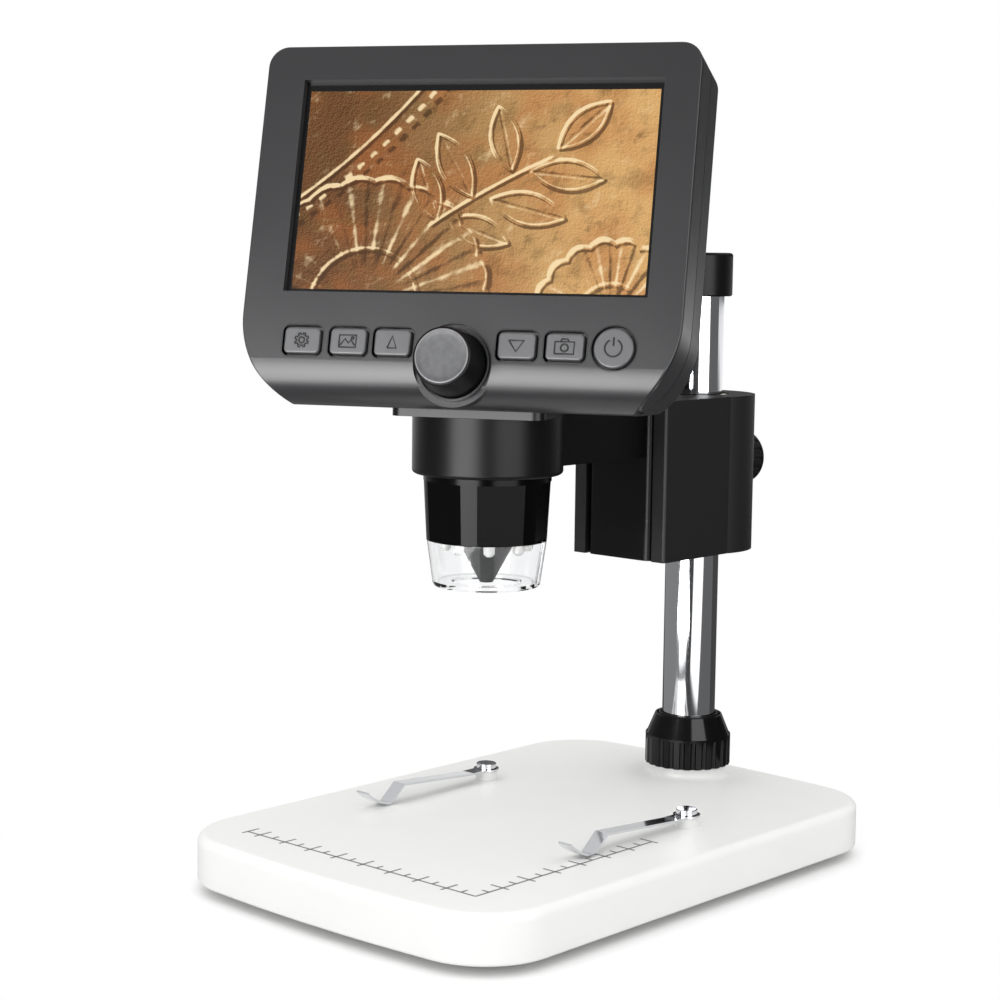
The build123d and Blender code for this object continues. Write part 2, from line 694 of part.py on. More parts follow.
flange_screw_span, flange_boss_height, flange_pilot = 33.0, 8.0, 7.0
neck_round, screw_well = 4.0, 4.0
rear_boss_radius, flange_boss_radius, boss_start = head_boss_radius + 0.8, head_boss_radius + 0.3, back_depth + 0.5
flange_screw_places = [(x * flange_screw_span, y * flange_screw_span) for x, y in grid_corners]
neck_wall = 2.2
with BuildPart() as rear_shell:
    with BuildSketch(neck_side_plane):
        add(neck_profile())
    extrude(amount=neck_half, both=True)
    fillet(
        rear_shell.edges().filter_by(Axis.Z).filter_by(lambda e: e.length > neck_half / 2),
        neck_round,
    )
    add(head_form(seam_depth, back_depth))
    with BuildSketch(neck_side_plane):
        add(neck_profile(neck_wall))
    extrude(amount=neck_half - neck_wall, both=True, mode=Mode.SUBTRACT)
    add(head_form(seam_depth + 1, back_depth + head_wall, head_wall), mode=Mode.SUBTRACT)
    # screw tubes from the back, and the neck's four bosses over the flange
    with BuildSketch(screen_plane.offset(boss_start)):
        with Locations(*head_screw_places):
            Circle(rear_boss_radius)
    extrude(amount=seam_depth - boss_start)
    with BuildSketch(above(lens_plane, underside)):
        with Locations(*flange_screw_places):
            Circle(flange_boss_radius)
    extrude(amount=flange_boss_height)
    with BuildSketch(screen_plane.offset(back_depth)):
        with Locations(*head_screw_places):
            Circle(head_screw_head_radius + seat)
    extrude(amount=screw_well, mode=Mode.SUBTRACT)
    with BuildSketch(screen_plane.offset(back_depth)):
        with Locations(*head_screw_places):
            Circle(head_screw_radius + seat)
    extrude(amount=seam_depth - back_depth, mode=Mode.SUBTRACT)
    with BuildSketch(above(lens_plane, underside)):
        with Locations(*flange_screw_places):
            Circle(head_screw_radius)
    extrude(amount=flange_pilot, mode=Mode.SUBTRACT)
pieces["rear_shell"] = rear_shell

screws(
    "head_screws",
    screen_plane.offset(back_depth + 2.4),
    head_screw_places,
    head_screw_radius,
    head_screw_head_radius,
    1.6,
    12.0,
)

# ------------------------------------------------------------------ screen, boards and battery
screen_thick = 3.0
screen_panel_width, screen_panel_height = 105.0, 62.0
screen_drop = 0.5  # the panel's middle below the picture's
screen_low = -screen_drop - screen_panel_height / 2
with BuildPart() as lcd_panel:
    with BuildSketch(screen_plane.offset(-screen_thick)):
        with Locations((screen_shift, -screen_drop)):
            Rectangle(screen_panel_width, screen_panel_height)
    extrude(amount=screen_thick)
pieces["lcd_panel"] = lcd_panel

screen_posts, screen_post_radius, spindle_radius = (90.0, 50.0), 1.6, 1.2
with BuildPart() as main_board:
    with BuildSketch(screen_plane.offset(board_front - board_thick)):
        with Locations(((board_left + board_right) / 2, (board_top + board_low) / 2)):
            Rectangle(board_right - board_left, board_top - board_low)
    extrude(amount=board_thick)
    # a post under each corner of the screen holds board and screen together
    with BuildSketch(screen_plane.offset(board_front)):
        with Locations((screen_shift, -screen_drop)):
            with GridLocations(*screen_posts, 2, 2):
                Circle(screen_post_radius)
    extrude(amount=-board_front - screen_thick - seat)
    with BuildSketch(screen_plane.offset(board_front)):
        with Locations((wheel_centre, wheel_row)):
            Circle(spindle_radius)
    extrude(amount=wheel_thick + 0.6)
pieces["main_board"] = main_board

battery_place, battery_width, battery_height, battery_thick = (-18.0, 8.0), 62.0, 40.0, 5.6
with BuildPart() as battery:
    with BuildSketch(screen_plane.offset(back_depth + head_wall + 0.2)):
        with Locations(battery_place):
            RectangleRounded(battery_width, battery_height, 2)
    extrude(amount=battery_thick)
pieces["battery"] = battery

port_length, port_shell, port_depth, port_tongue = 5.6, 0.4, 3.0, 0.6
with BuildPart() as data_port:
    with BuildSketch(screen_plane.offset(board_front)):
        with Locations((-head_half + head_wall / 2 + port_length / 2 - 0.3, port_row)):
            Rectangle(port_length, port_width)
    extrude(amount=port_thick)
    fillet(data_port.edges().filter_by(Axis((0, 0, 0), sideways)), 0.8)
    with BuildSketch(Plane(origin=screen_plane.origin, x_dir=screen_plane.y_dir, z_dir=sideways).offset(-head_half)):
        with Locations((port_row, board_front + port_thick / 2)):
            Rectangle(port_width - 2 * port_shell, port_thick - 2 * port_shell)
            Rectangle(port_width - 8 * port_shell, port_tongue, mode=Mode.SUBTRACT)
    extrude(amount=head_wall + port_depth, mode=Mode.SUBTRACT)
pieces["data_port"] = data_port

slot_length, slot_wall, slot_gap, card_wide = 14.0, 0.4, 1.0, slot_width - 2.6
slot_near = -head_half + head_wall + 0.2
with BuildPart() as card_slot:
    with BuildSketch(screen_plane.offset(board_front)):
        with Locations((slot_near + slot_length / 2, slot_row)):
            Rectangle(slot_length, slot_width)
    extrude(amount=slot_thick)
    with BuildSketch(screen_plane.offset(board_front + slot_wall)):
        with Locations((slot_near + slot_length / 2 - 1.2, slot_row)):
            Rectangle(slot_length - 2, card_wide)
    extrude(amount=slot_gap, mode=Mode.SUBTRACT)
pieces["card_slot"] = card_slot

with BuildPart() as dimmer_wheel:
    with BuildSketch(screen_plane.offset(wheel_front - wheel_thick)):
        with Locations((wheel_centre, wheel_row)):
            Circle(wheel_radius)
            with PolarLocations(wheel_radius + 0.15, wheel_grooves):
                Circle(wheel_groove_radius, mode=Mode.SUBTRACT)
            Circle(spindle_radius + running, mode=Mode.SUBTRACT)
    extrude(amount=wheel_thick)
pieces["dimmer_wheel"] = dimmer_wheel

# ------------------------------------------------------------------ buttons
plate_back = face_depth - face_plate
button_lip, round_lip, lip_thick, key_edge_round = 1.3, 1.0, 1.0, 0.5
cap_front = face_depth + button_proud
lip_front = plate_back - seat


def button(name, place):
    """A key: a soft-edged cap through the plate, and the lip behind it that keeps it in."""
    round_key = name == "power_button"
    with BuildPart() as key:
        with BuildSketch(screen_plane.offset(lip_front - lip_thick)):
            with Locations(place):
                if round_key:
                    Circle(power_radius)
                else:
                    RectangleRounded(button_width, button_height, button_corner)
        extrude(amount=cap_front - lip_front + lip_thick)
        fillet(key.faces().sort_by(Axis(screen_plane.origin, outward))[-1].edges(), key_edge_round)
        with BuildSketch(screen_plane.offset(lip_front - lip_thick)):
            with Locations(place):
                if round_key:
                    Circle(power_radius + round_lip)
                else:
                    RectangleRounded(button_width, button_height + 2 * button_lip, button_corner)
        extrude(amount=lip_thick)
    pieces[name] = key


button_names = ("menu_button", "gallery_button", "up_button", "down_button", "camera_button")
for name, place in zip(button_names, button_spots):
    button(name, place)
button("power_button", (power_place, button_row))

# Rubber key mat and the strip board behind it, both cut out round the knob's pad.
mat_top = lip_front - lip_thick - button_travel - 0.05
mat_thick, key_board_thick = 0.9, 1.2
strip_span, strip_low = 94.0, button_row - 4.8
strip_top = screen_low - 0.6
with BuildPart() as key_mat:
    with BuildSketch(screen_plane.offset(mat_top - mat_thick)):
        with Locations((0, (strip_low + strip_top) / 2)):
            Rectangle(strip_span, strip_top - strip_low)
        with Locations((0, knob_row)):
            Circle(knob_moat_radius + knob_backing + free, mode=Mode.SUBTRACT)
    extrude(amount=mat_thick)
pieces["key_mat"] = key_mat

with BuildPart() as key_board:
    with BuildSketch(screen_plane.offset(mat_top - mat_thick - key_board_thick)):
        with Locations((0, (strip_low + strip_top) / 2)):
            Rectangle(strip_span, strip_top - strip_low)
        with Locations((0, knob_row)):
            Circle(knob_moat_radius + knob_backing + free, mode=Mode.SUBTRACT)
    extrude(amount=key_board_thick)
pieces["key_board"] = key_board

# ------------------------------------------------------------------ focus drive
pitch_radius = gear_module * pinion_teeth / 2
tip_radius = pitch_radius + addendum_share * gear_module
root_radius = pitch_radius - gear_module
base_circle = pitch_radius * cos(pressure_angle)
pinion_front = -pinion_start
knob_base, knob_cap, knob_edge_round = well_floor + free, 3.0, 0.8


def involute(radius):
    """Polar angle of an involute from the base circle, at a radius on or outside it."""
    if radius <= base_circle:
        return 0.0
    roll = sqrt((radius / base_circle) ** 2 - 1)
    return roll - acos(base_circle / radius)


def pinion_sketch():
    """The pinion's section, with a tooth space facing the rack on the +X side."""
    half_tooth = pi / (2 * pinion_teeth) - gear_backlash / (2 * pitch_radius)
    flank_radii = (root_radius, base_circle, (base_circle + tip_radius) / 2, tip_radius)
    outline = []
    for tooth in range(pinion_teeth):
        middle = (tooth + 0.5) * 2 * pi / pinion_teeth
        for side, radii in ((-1, flank_radii), (1, flank_radii[::-1])):
            for radius in radii:
                angle = middle + side * (half_tooth + involute(pitch_radius) - involute(radius))
                outline.append((radius * cos(angle), radius * sin(angle)))
    with BuildSketch() as section:
        with BuildLine():
            Polyline(*outline, close=True)
        make_face()
    return section.sketch


with BuildPart() as focus_pinion:
    with BuildSketch(screen_plane.offset(pinion_front - pinion_length)):
        with Locations((0, knob_row)):
            add(pinion_sketch())
    extrude(amount=pinion_length)
    with BuildSketch(screen_plane.offset(pinion_front - pinion_length)):
        with Locations((0, knob_row)):
            Circle(shaft_radius)
    extrude(amount=knob_face - knob_cap - pinion_front + pinion_length)
pieces["focus_pinion"] = focus_pinion

with BuildPart() as shaft_bushing:
    with BuildSketch(screen_plane.offset(bushing_end)):
        with Locations((0, knob_row)):
            Circle(bushing_radius)
            Circle(shaft_radius + running, mode=Mode.SUBTRACT)
    extrude(amount=well_floor - bushing_end)
pieces["shaft_bushing"] = shaft_bushing

with BuildPart() as focus_knob:
    with BuildSketch(screen_plane.offset(knob_base)):
        with Locations((0, knob_row)):
            Circle(knob_base_radius)
    with BuildSketch(screen_plane.offset(knob_face)):
        with Locations((0, knob_row)):
            Circle(knob_top_radius)
    loft()
    fillet(focus_knob.faces().sort_by(Axis(screen_plane.origin, outward))[-1].edges(), knob_edge_round)
    with BuildSketch(screen_plane.offset(knob_base)):
        with Locations((0, knob_row)):
            Circle(shaft_radius)
    extrude(amount=knob_face - knob_cap - knob_base, mode=Mode.SUBTRACT)
pieces["focus_knob"] = focus_knob

# ------------------------------------------------------------------ barrel
barrel_radius = ring_bore - seat
flange_bottom = ring_top + seat
barrel_low = ring_bottom - 0.2
guide_height, guide_level = 3.0, barrel_low + 4.5
carriage_bore = carriage_radius + running
rack_outer = pitch_radius + 3.2
tab_inner = pitch_radius + 0.6
rack_margin = 0.5
mesh_near, mesh_far = pinion_front + rack_margin, pinion_front - pinion_length - rack_margin
pinion_height = screen_height + knob_row * cos(lean) + (pinion_front - pinion_length / 2) * sin(lean)
# the rack's bar stands upright, as long as the mesh is wide; its teeth are cut along the pinion's axis
bar_near, bar_far = ahead_at(mesh_near, pinion_height), ahead_at(mesh_far, pinion_height)

with BuildPart() as barrel_housing:
    with BuildSketch(above(lens_plane, flange_bottom)):
        RectangleRounded(2 * flange_half, 2 * flange_half, flange_corner)
    extrude(amount=underside - flange_bottom)
    with BuildSketch(above(lens_plane, barrel_low)):
        Circle(barrel_radius)
    extrude(amount=flange_bottom - barrel_low)
    with BuildSketch(above(lens_plane, barrel_low)):
        Circle(barrel_radius - barrel_wall)
    extrude(amount=flange_bottom - barrel_low, mode=Mode.SUBTRACT)
    with BuildSketch(above(lens_plane, guide_level)):
        Circle(barrel_radius - barrel_wall / 2)
    extrude(amount=guide_height)
    with BuildSketch(above(lens_plane, barrel_low)):
        Circle(carriage_bore)
    extrude(amount=underside - barrel_low, mode=Mode.SUBTRACT)
    # a keyway in the guide for the carriage's tab
    with BuildSketch(above(lens_plane, guide_level)):
        with Locations(((tab_inner + rack_outer) / 2, -(bar_near + free) / 2)):
            Rectangle(rack_outer - tab_inner + 2 * free, bar_near + free)
    extrude(amount=guide_height, mode=Mode.SUBTRACT)
    with BuildSketch(above(lens_plane, flange_bottom)):
        Circle(carriage_radius + 1.5)
        with Locations(((pitch_radius + rack_outer) / 2, -barrel_radius / 2)):
            Rectangle(rack_outer - pitch_radius + 3, barrel_radius - 1)
    extrude(amount=underside - flange_bottom, mode=Mode.SUBTRACT)
    with BuildSketch(above(lens_plane, flange_bottom)):
        with Locations(*flange_screw_places):
            Circle(head_screw_head_radius + seat)
    extrude(amount=1.5, mode=Mode.SUBTRACT)
    with BuildSketch(above(lens_plane, flange_bottom)):
        with Locations(*flange_screw_places):
            Circle(head_screw_radius + seat)
    extrude(amount=underside - flange_bottom, mode=Mode.SUBTRACT)
pieces["barrel_housing"] = barrel_housing

screws(
    "flange_screws",
    above(lens_plane, flange_bottom + 0.1),
    flange_screw_places,
    head_screw_radius,
    head_screw_head_radius,
    1.4,
    6.5,
)

# Grip: a tapered ring with six long flats below a round rim, and a guide for the carriage inside.
grip_top = barrel_low
grip_low = grip_top - grip_height
grip_rim, grip_guide_low, grip_guide = 1.6, 5.0, 3.0
grip_bore = grip_low_radius - grip_wall
with BuildPart() as grip_ring:
    with BuildSketch(above(lens_plane, grip_low)):
        Circle(grip_low_radius)
    with BuildSketch(above(lens_plane, grip_top)):
        Circle(grip_top_radius)
    loft()
    with BuildSketch(above(lens_plane, grip_low)):
        RegularPolygon(grip_low_radius * grip_flat_share, 6, major_radius=False, rotation=30)
    with BuildSketch(above(lens_plane, grip_top)):
        RegularPolygon(grip_top_radius * grip_flat_share, 6, major_radius=False, rotation=30)
    loft(mode=Mode.INTERSECT)
    with BuildSketch(above(lens_plane, grip_top - grip_rim)):
        Circle(grip_top_radius)
    extrude(amount=grip_rim)
    with BuildSketch(above(lens_plane, grip_low)):
        Circle(grip_bore)
    extrude(amount=grip_height, mode=Mode.SUBTRACT)
    with BuildSketch(above(lens_plane, grip_low + grip_guide_low)):
        Circle(grip_bore + grip_wall / 4)
        Circle(carriage_bore, mode=Mode.SUBTRACT)
    extrude(amount=grip_guide)
pieces["grip_ring"] = grip_ring

led_circle, led_count, led_first, led_radius, led_length = 11.2, 8, 20.0, 1.5, 3.2
board_ring_radius, led_board_thick, led_board_gap = grip_bore - seat, 1.0, 0.8
with BuildPart() as led_board:
    with BuildSketch(above(lens_plane, grip_low)):
        Circle(board_ring_radius)
        Circle(nose_top_radius + led_board_gap, mode=Mode.SUBTRACT)
    extrude(amount=led_board_thick)
pieces["led_board"] = led_board

with BuildPart() as leds:
    with BuildSketch(above(lens_plane, grip_low)):
        with PolarLocations(led_circle, led_count, start_angle=led_first):
            Circle(led_radius)
    extrude(amount=-led_length)
    chamfer(leds.faces().filter_by(Axis.Z).group_by(Axis.Z)[0].edges(), 0.7)
pieces["leds"] = leds

# Clear cap: a thin tapered skirt, turned in at its lower rim.
skirt_top_radius = grip_low_radius - 0.15
skirt_low = grip_low - clear_cap_height
skirt_edge, skirt_opening = 0.5, 9.6
with BuildPart() as clear_cap:
    with BuildSketch(neck_side_plane):
        with BuildLine():
            Polyline(
                (skirt_top_radius, grip_low),
                (clear_cap_low_radius, skirt_low + skirt_edge),
                (clear_cap_low_radius - skirt_edge, skirt_low),
                (skirt_opening, skirt_low),
                (skirt_opening, skirt_low + clear_cap_wall),
                (clear_cap_low_radius - clear_cap_wall, skirt_low + clear_cap_wall),
                (skirt_top_radius - clear_cap_wall, grip_low),
                close=True,
            )
        make_face()
    revolve(axis=Axis(lens_plane.origin, up))
pieces["clear_cap"] = clear_cap

# Nose: the dark cone that holds the front lens and travels with the carriage.
nose_inset, nose_bore, nose_pinhole = 1.6, 4.6, 1.2
nose_top = grip_low - nose_inset
nose_tip = nose_top - nose_length
carriage_low = grip_low + led_board_thick + lens_drop + 2 * free
with BuildPart() as lens_nose:
    with BuildSketch(above(lens_plane, nose_tip)):
        Circle(nose_tip_radius)
    with BuildSketch(above(lens_plane, nose_top)):
        Circle(nose_top_radius)
    loft()
    with BuildSketch(above(lens_plane, nose_top)):
        Circle(nose_top_radius)
    extrude(amount=carriage_low - nose_top)
    with BuildSketch(above(lens_plane, nose_tip)):
        Circle(nose_pinhole)
    with BuildSketch(above(lens_plane, nose_top)):
        Circle(nose_bore)
    loft(mode=Mode.SUBTRACT)
    with BuildSketch(above(lens_plane, nose_top)):
        Circle(nose_bore)
    extrude(amount=carriage_low - nose_top, mode=Mode.SUBTRACT)
pieces["lens_nose"] = lens_nose

lens_thick = 2.0
with BuildPart() as front_lens:
    with BuildSketch(above(lens_plane, nose_top)):
        Circle(nose_bore)
    extrude(amount=lens_thick)
    fillet(front_lens.faces().sort_by(Axis.Z)[-1].edges(), 0.4 * lens_thick)
pieces["front_lens"] = front_lens

# Carriage: the lens tube, with a tab and the rack that the pinion drives. The rack's teeth lie
# along the pinion's leaning axis, so they run in mesh while the carriage rises upright.
carriage_top = carriage_low + carriage_length
tooth_pitch = pi * gear_module
rack_reach_up, rack_reach_down = lens_drop + 3.0, lens_lift + 3.0
rack_reach = 12.0  # spare length of the toothed section before the bar is cut out of it
rack_tip = pitch_radius - addendum_share * gear_module
rack_top_level = pinion_height + rack_reach_up


def rack_sketch(low):
    """The rack's section: a bar from the tab up, with teeth facing the pinion."""
    half_root = tooth_pitch / 4 - gear_backlash / 4
    tip = rack_tip
    root = pitch_radius + gear_module
    slope = tan(pressure_angle)
    count_up = int(rack_reach_up / tooth_pitch) + 2
    count_down = int(rack_reach_down / tooth_pitch)
    outline = [(rack_outer, low), (root, low)]
    for tooth in range(-count_down, count_up + 1):
        middle = knob_row + tooth * tooth_pitch
        wide = half_root + (root - pitch_radius) * slope
        narrow = half_root - (pitch_radius - tip) * slope
        outline += [(root, middle - wide), (tip, middle - narrow), (tip, middle + narrow), (root, middle + wide)]
    top = knob_row + (count_up + 1) * tooth_pitch
    outline += [(root, top), (rack_outer, top)]
    with BuildSketch() as section:
        with BuildLine():
            Polyline(*outline, close=True)
        make_face()
    return section.sketch


tab_height = 3.4
tab_level = carriage_top - tab_height
rack_low = underside_at(mesh_near, tab_level - 2)
with BuildPart() as lens_carriage:
    with BuildSketch(screen_plane.offset(mesh_far - rack_reach)):
        add(rack_sketch(rack_low))
    extrude(amount=mesh_near - mesh_far + 2 * rack_reach)
    with BuildSketch(above(lens_plane, tab_level)):
        with Locations(((rack_tip + rack_outer) / 2, -(bar_near + bar_far) / 2)):
            Rectangle(rack_outer - rack_tip, bar_near - bar_far)
    extrude(amount=rack_top_level - tab_level, mode=Mode.INTERSECT)
    with BuildSketch(above(lens_plane, tab_level)):
        with Locations(((tab_inner + rack_outer) / 2, -bar_near / 2)):
            Rectangle(rack_outer - tab_inner, bar_near)
    extrude(amount=tab_height)
    with BuildSketch(above(lens_plane, carriage_low)):
        Circle(carriage_radius)
    extrude(amount=carriage_length)
    with BuildSketch(above(lens_plane, carriage_low)):
        Circle(carriage_radius - carriage_wall)
    extrude(amount=carriage_length, mode=Mode.SUBTRACT)
pieces["lens_carriage"] = lens_carriage

# ------------------------------------------------------------------ camera in the neck
sensor_level = 158.0
bracket_half, bracket_wall, bracket_depth, bracket_foot, bracket_back = 12.5, 1.4, 16.0, 5.4, 2.0
sensor_board_thick, sensor_thick, sensor_opening = 1.2, 1.2, (10.0, 9.0)
with BuildPart() as camera_bracket:
    with BuildSketch(above(lens_plane, underside)):
        with Locations((0, bracket_back)):
            with GridLocations(2 * bracket_half + bracket_foot - bracket_wall, 1, 2, 1):
                Rectangle(bracket_foot, bracket_depth)
    extrude(amount=bracket_wall)
    with BuildSketch(above(lens_plane, underside)):
        with Locations((0, bracket_back)):
            with GridLocations(2 * bracket_half, 1, 2, 1):
                Rectangle(bracket_wall, bracket_depth)
    extrude(amount=sensor_level - underside)
    with BuildSketch(above(lens_plane, sensor_level - bracket_wall)):
        with Locations((0, bracket_back)):
            Rectangle(2 * bracket_half, bracket_depth)
        Rectangle(*sensor_opening, mode=Mode.SUBTRACT)
    extrude(amount=bracket_wall)
pieces["camera_bracket"] = camera_bracket

with BuildPart() as sensor_board:
    with BuildSketch(above(lens_plane, sensor_level)):
        with Locations((0, bracket_back)):
            Rectangle(2 * bracket_half - 1, bracket_depth + 2)
    extrude(amount=sensor_board_thick)
pieces["sensor_board"] = sensor_board

with BuildPart() as image_sensor:
    with BuildSketch(above(lens_plane, sensor_level)):
        Rectangle(7, 6)
    extrude(amount=-sensor_thick)
pieces["image_sensor"] = image_sensor

# ------------------------------------------------------------------ write the pieces
for name, piece in pieces.items():
    piece.part.label = name
    export_step(piece.part, f"parts/{name}.step")
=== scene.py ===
import math

import bmesh
import bpy
from mathutils import Matrix, Vector


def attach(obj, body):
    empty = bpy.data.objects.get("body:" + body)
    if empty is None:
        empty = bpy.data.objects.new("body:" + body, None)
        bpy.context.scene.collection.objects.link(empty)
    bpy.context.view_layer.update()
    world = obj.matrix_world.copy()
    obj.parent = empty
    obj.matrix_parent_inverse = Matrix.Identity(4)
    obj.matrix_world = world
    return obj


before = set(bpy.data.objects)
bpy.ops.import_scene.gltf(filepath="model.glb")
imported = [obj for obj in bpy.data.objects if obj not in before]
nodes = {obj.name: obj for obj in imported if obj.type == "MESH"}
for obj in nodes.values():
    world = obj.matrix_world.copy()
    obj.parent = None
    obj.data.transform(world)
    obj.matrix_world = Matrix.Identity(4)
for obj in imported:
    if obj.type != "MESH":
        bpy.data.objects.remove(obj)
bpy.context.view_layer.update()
MM = 0.001

# ---- Base ------------------------------------------------------------------------------------
# Two white ABS mouldings screwed together from below: a top shell with the post for the column
# and the clip posts, and a bottom cover on four rubber feet. Satin skin with a very fine grain.


class Wire:
    """A socket in a material's node tree; arithmetic on it adds Math nodes."""

    def __init__(self, tree, socket):
        self.tree = tree
        self.socket = socket

    def node(self, kind, settings=None, inputs=None, output=0):
        """Adds a node: its settings first, then a value or a link for each named socket."""
        node = self.tree.nodes.new(kind)
        for name, value in (settings or {}).items():
            setattr(node, name, value)
        for name, value in (inputs or {}).items():
            if isinstance(value, Wire):
                self.tree.links.new(value.socket, node.inputs[name])
            else:
                node.inputs[name].default_value = value
        return Wire(self.tree, node.outputs[output])

    def math(self, operation, first, second=0.0):
        return self.node("ShaderNodeMath", {"operation": operation}, {0: first, 1: second})

    def __add__(self, other):
        return self.math("ADD", self, other)

    def __radd__(self, other):
        return self.math("ADD", other, self)

    def __sub__(self, other):
        return self.math("SUBTRACT", self, other)

    def __rsub__(self, other):
        return self.math("SUBTRACT", other, self)

    def __mul__(self, other):
        return self.math("MULTIPLY", self, other)

    def __rmul__(self, other):
        return self.math("MULTIPLY", other, self)

    def __truediv__(self, other):
        return self.math("DIVIDE", self, other)


def vector_math(operation, first, second, output="Vector"):
    """Vector Math on a vector wire and a second vector."""
    sides = {0: first, 1: second}
    return first.node("ShaderNodeVectorMath", {"operation": operation}, sides, output)


def coordinate(place, axis):
    """The X, Y or Z of a vector wire."""
    return place.node("ShaderNodeSeparateXYZ", {}, {"Vector": place}, axis)


def ray_is(wire, kind):
    """1 on rays of that kind, in the wire's tree."""
    return wire.node("ShaderNodeLightPath", output=f"Is {kind} Ray")


def place_in_scene(name, data):
    piece = bpy.data.objects.new(name, data)
    bpy.context.scene.collection.objects.link(piece)
    return piece


def mesh_piece(name, mesh):
    """A new object with what was built in the bmesh."""
    data = bpy.data.meshes.new(name)
    mesh.to_mesh(data)
    mesh.free()
    return place_in_scene(name, data)


def paint(code):
    """A screen colour such as "e8e8e6" as the linear colour that a socket takes."""
    levels = [int(code[k : k + 2], 16) / 255 for k in (0, 2, 4)]
    linear = [v / 12.92 if v <= 0.04045 else ((v + 0.055) / 1.055) ** 2.4 for v in levels]
    return (*linear, 1.0)


class Finish:
    """A procedural material: constants on its shader's sockets, and wires where it varies."""

    def __init__(self, name, constants):
        self.material = bpy.data.materials.new(name)
        self.material.use_nodes = True
        self.tree = self.material.node_tree
        self.shader = self.tree.nodes["Principled BSDF"]
        for socket, value in constants.items():
            self.shader.inputs[socket].default_value = value
        self.place = Wire(self.tree, None).node("ShaderNodeTexCoord", output="Object")

    def feed(self, socket, wire):
        self.tree.links.new(wire.socket, self.shader.inputs[socket])

    def noise(self, size, detail=2.0, stretch=(1, 1, 1)):
        """Even noise from 0 to 1 whose lumps are `size` millimetres across."""
        spread = vector_math("MULTIPLY", self.place, [1 / (size * MM * s) for s in stretch])
        inputs = {"Vector": spread, "Scale": 1.0, "Detail": detail}
        return spread.node("ShaderNodeTexNoise", {}, inputs)

    def blend(self, factor, first, second):
        """Colour `first` where the factor is 0, `second` where it is 1."""
        sides = {"Factor": factor, 6: first, 7: second}
        return self.place.node("ShaderNodeMix", {"data_type": "RGBA"}, sides, output=2)

    def bump(self, height, depth):
        """Relief of a height wire from 0 to 1 that is `depth` millimetres deep."""
        inputs = {"Strength": 1.0, "Distance": depth * MM, "Height": height}
        self.feed("Normal", height.node("ShaderNodeBump", {}, inputs))

    def wear(self, *names):
        """Puts the finish on those CAD nodes."""
        for name in names:
            slots = nodes[name].material_slots
            if not slots:
                nodes[name].data.materials.append(self.material)
            for slot in slots:
                slot.material = self.material


def moulded(name, tint, low, roughness, grain=0.35, depth=0.012, specular=0.5):
    """Moulded plastic: eroded grain, and slow clouds in tone and gloss between two tints."""
    skin = Finish(name, {"Specular IOR Level": specular})
    cloud = skin.noise(28.0, 3.0)
    skin.feed("Base Color", skin.blend(cloud, paint(tint), paint(low)))
    skin.feed("Roughness", roughness - 0.05 + 0.1 * cloud)
    skin.bump(skin.noise(grain, 1.5), depth)
    return skin


white_abs = moulded("white_abs", "f1f1ef", "ebebe9", 0.40, grain=0.5, depth=0.005)
white_abs.wear("base_top_shell", "base_bottom_cover")

rubber = moulded("foot_rubber", "262626", "1e1e1e", 0.8, grain=0.25, depth=0.02)
rubber.wear("rubber_feet")

screw_steel = Finish("screw_steel", {"Metallic": 1.0})
turning = screw_steel.noise(0.6, 2.0, (1, 1, 0.2))
screw_steel.feed("Base Color", screw_steel.blend(turning, paint("a9abad"), paint("8d8f92")))
screw_steel.feed("Roughness", 0.25 + 0.2 * turning)
screw_steel.wear(
    "base_screws", "column_anchor_screw", "head_screws", "flange_screws", "camera_bracket"
)

# ---- Printed ruler ---------------------------------------------------------------------------
# Two scales in thin grey ink on the stage, meeting in a right angle near the front corner, with a
# long tick every 10 mm and a short one half way. Pad printed, so the ink is next to flat.


def ink_lines(name, strokes, width, level, film):
    """Flat ribbons of ink on the plane z = level, one for each stroke between two points, in mm."""
    mesh = bmesh.new()
    for start, end in strokes:
        start, end = Vector((*start, level)), Vector((*end, level))
        side = (end - start).normalized().cross(Vector((0, 0, 1))) * width / 2
        corners = [start - side, start + side, end + side, end - side]
        mesh.faces.new([mesh.verts.new((c + Vector((0, 0, film))) * MM) for c in corners])
    bmesh.ops.recalc_face_normals(mesh, faces=mesh.faces)
    piece = mesh_piece(name, mesh)
    thickness = piece.modifiers.new("film", "SOLIDIFY")
    thickness.thickness = film * MM
    return piece


ruler_corner_x, ruler_corner_y, stage_level = 38.7, -74.2, 16.0
ruler_across, ruler_back, ruler_line, ink_film = 85.0, 70.0, 0.7, 0.03
tick_step, tick_in, tick_out, half_tick = 10.0, 4.1, 2.0, 2.4
half_step = tick_step / 2
across_halves, back_halves = round(ruler_across / half_step), round(ruler_back / half_step)
ruler_strokes = [
    ((ruler_corner_x, ruler_corner_y), (ruler_corner_x - ruler_across, ruler_corner_y)),
    ((ruler_corner_x, ruler_corner_y), (ruler_corner_x, ruler_corner_y + ruler_back)),
]
for count in range(1, across_halves + 1):
    x, whole = ruler_corner_x - half_step * count, count % 2 == 0 or count == across_halves
    ruler_strokes.append((
        (x, ruler_corner_y - whole * tick_out),
        (x, ruler_corner_y + (tick_in if whole else half_tick)),
    ))
for count in range(1, back_halves + 1):
    y, whole = ruler_corner_y + half_step * count, count % 2 == 0
    ruler_strokes.append((
        (ruler_corner_x + whole * tick_out, y),
        (ruler_corner_x - (tick_in if whole else half_tick), y),
    ))
ruler = ink_lines("ruler_print", ruler_strokes, ruler_line, stage_level, ink_film)

ink = Finish("ruler_ink", {"Roughness": 0.5})
patchy = ink.noise(0.8, 3.0)
ink.feed("Base Color", ink.blend(patchy, paint("6c6b6a"), paint("8f8e8c")))
ruler.data.materials.append(ink.material)
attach(ruler, "base")

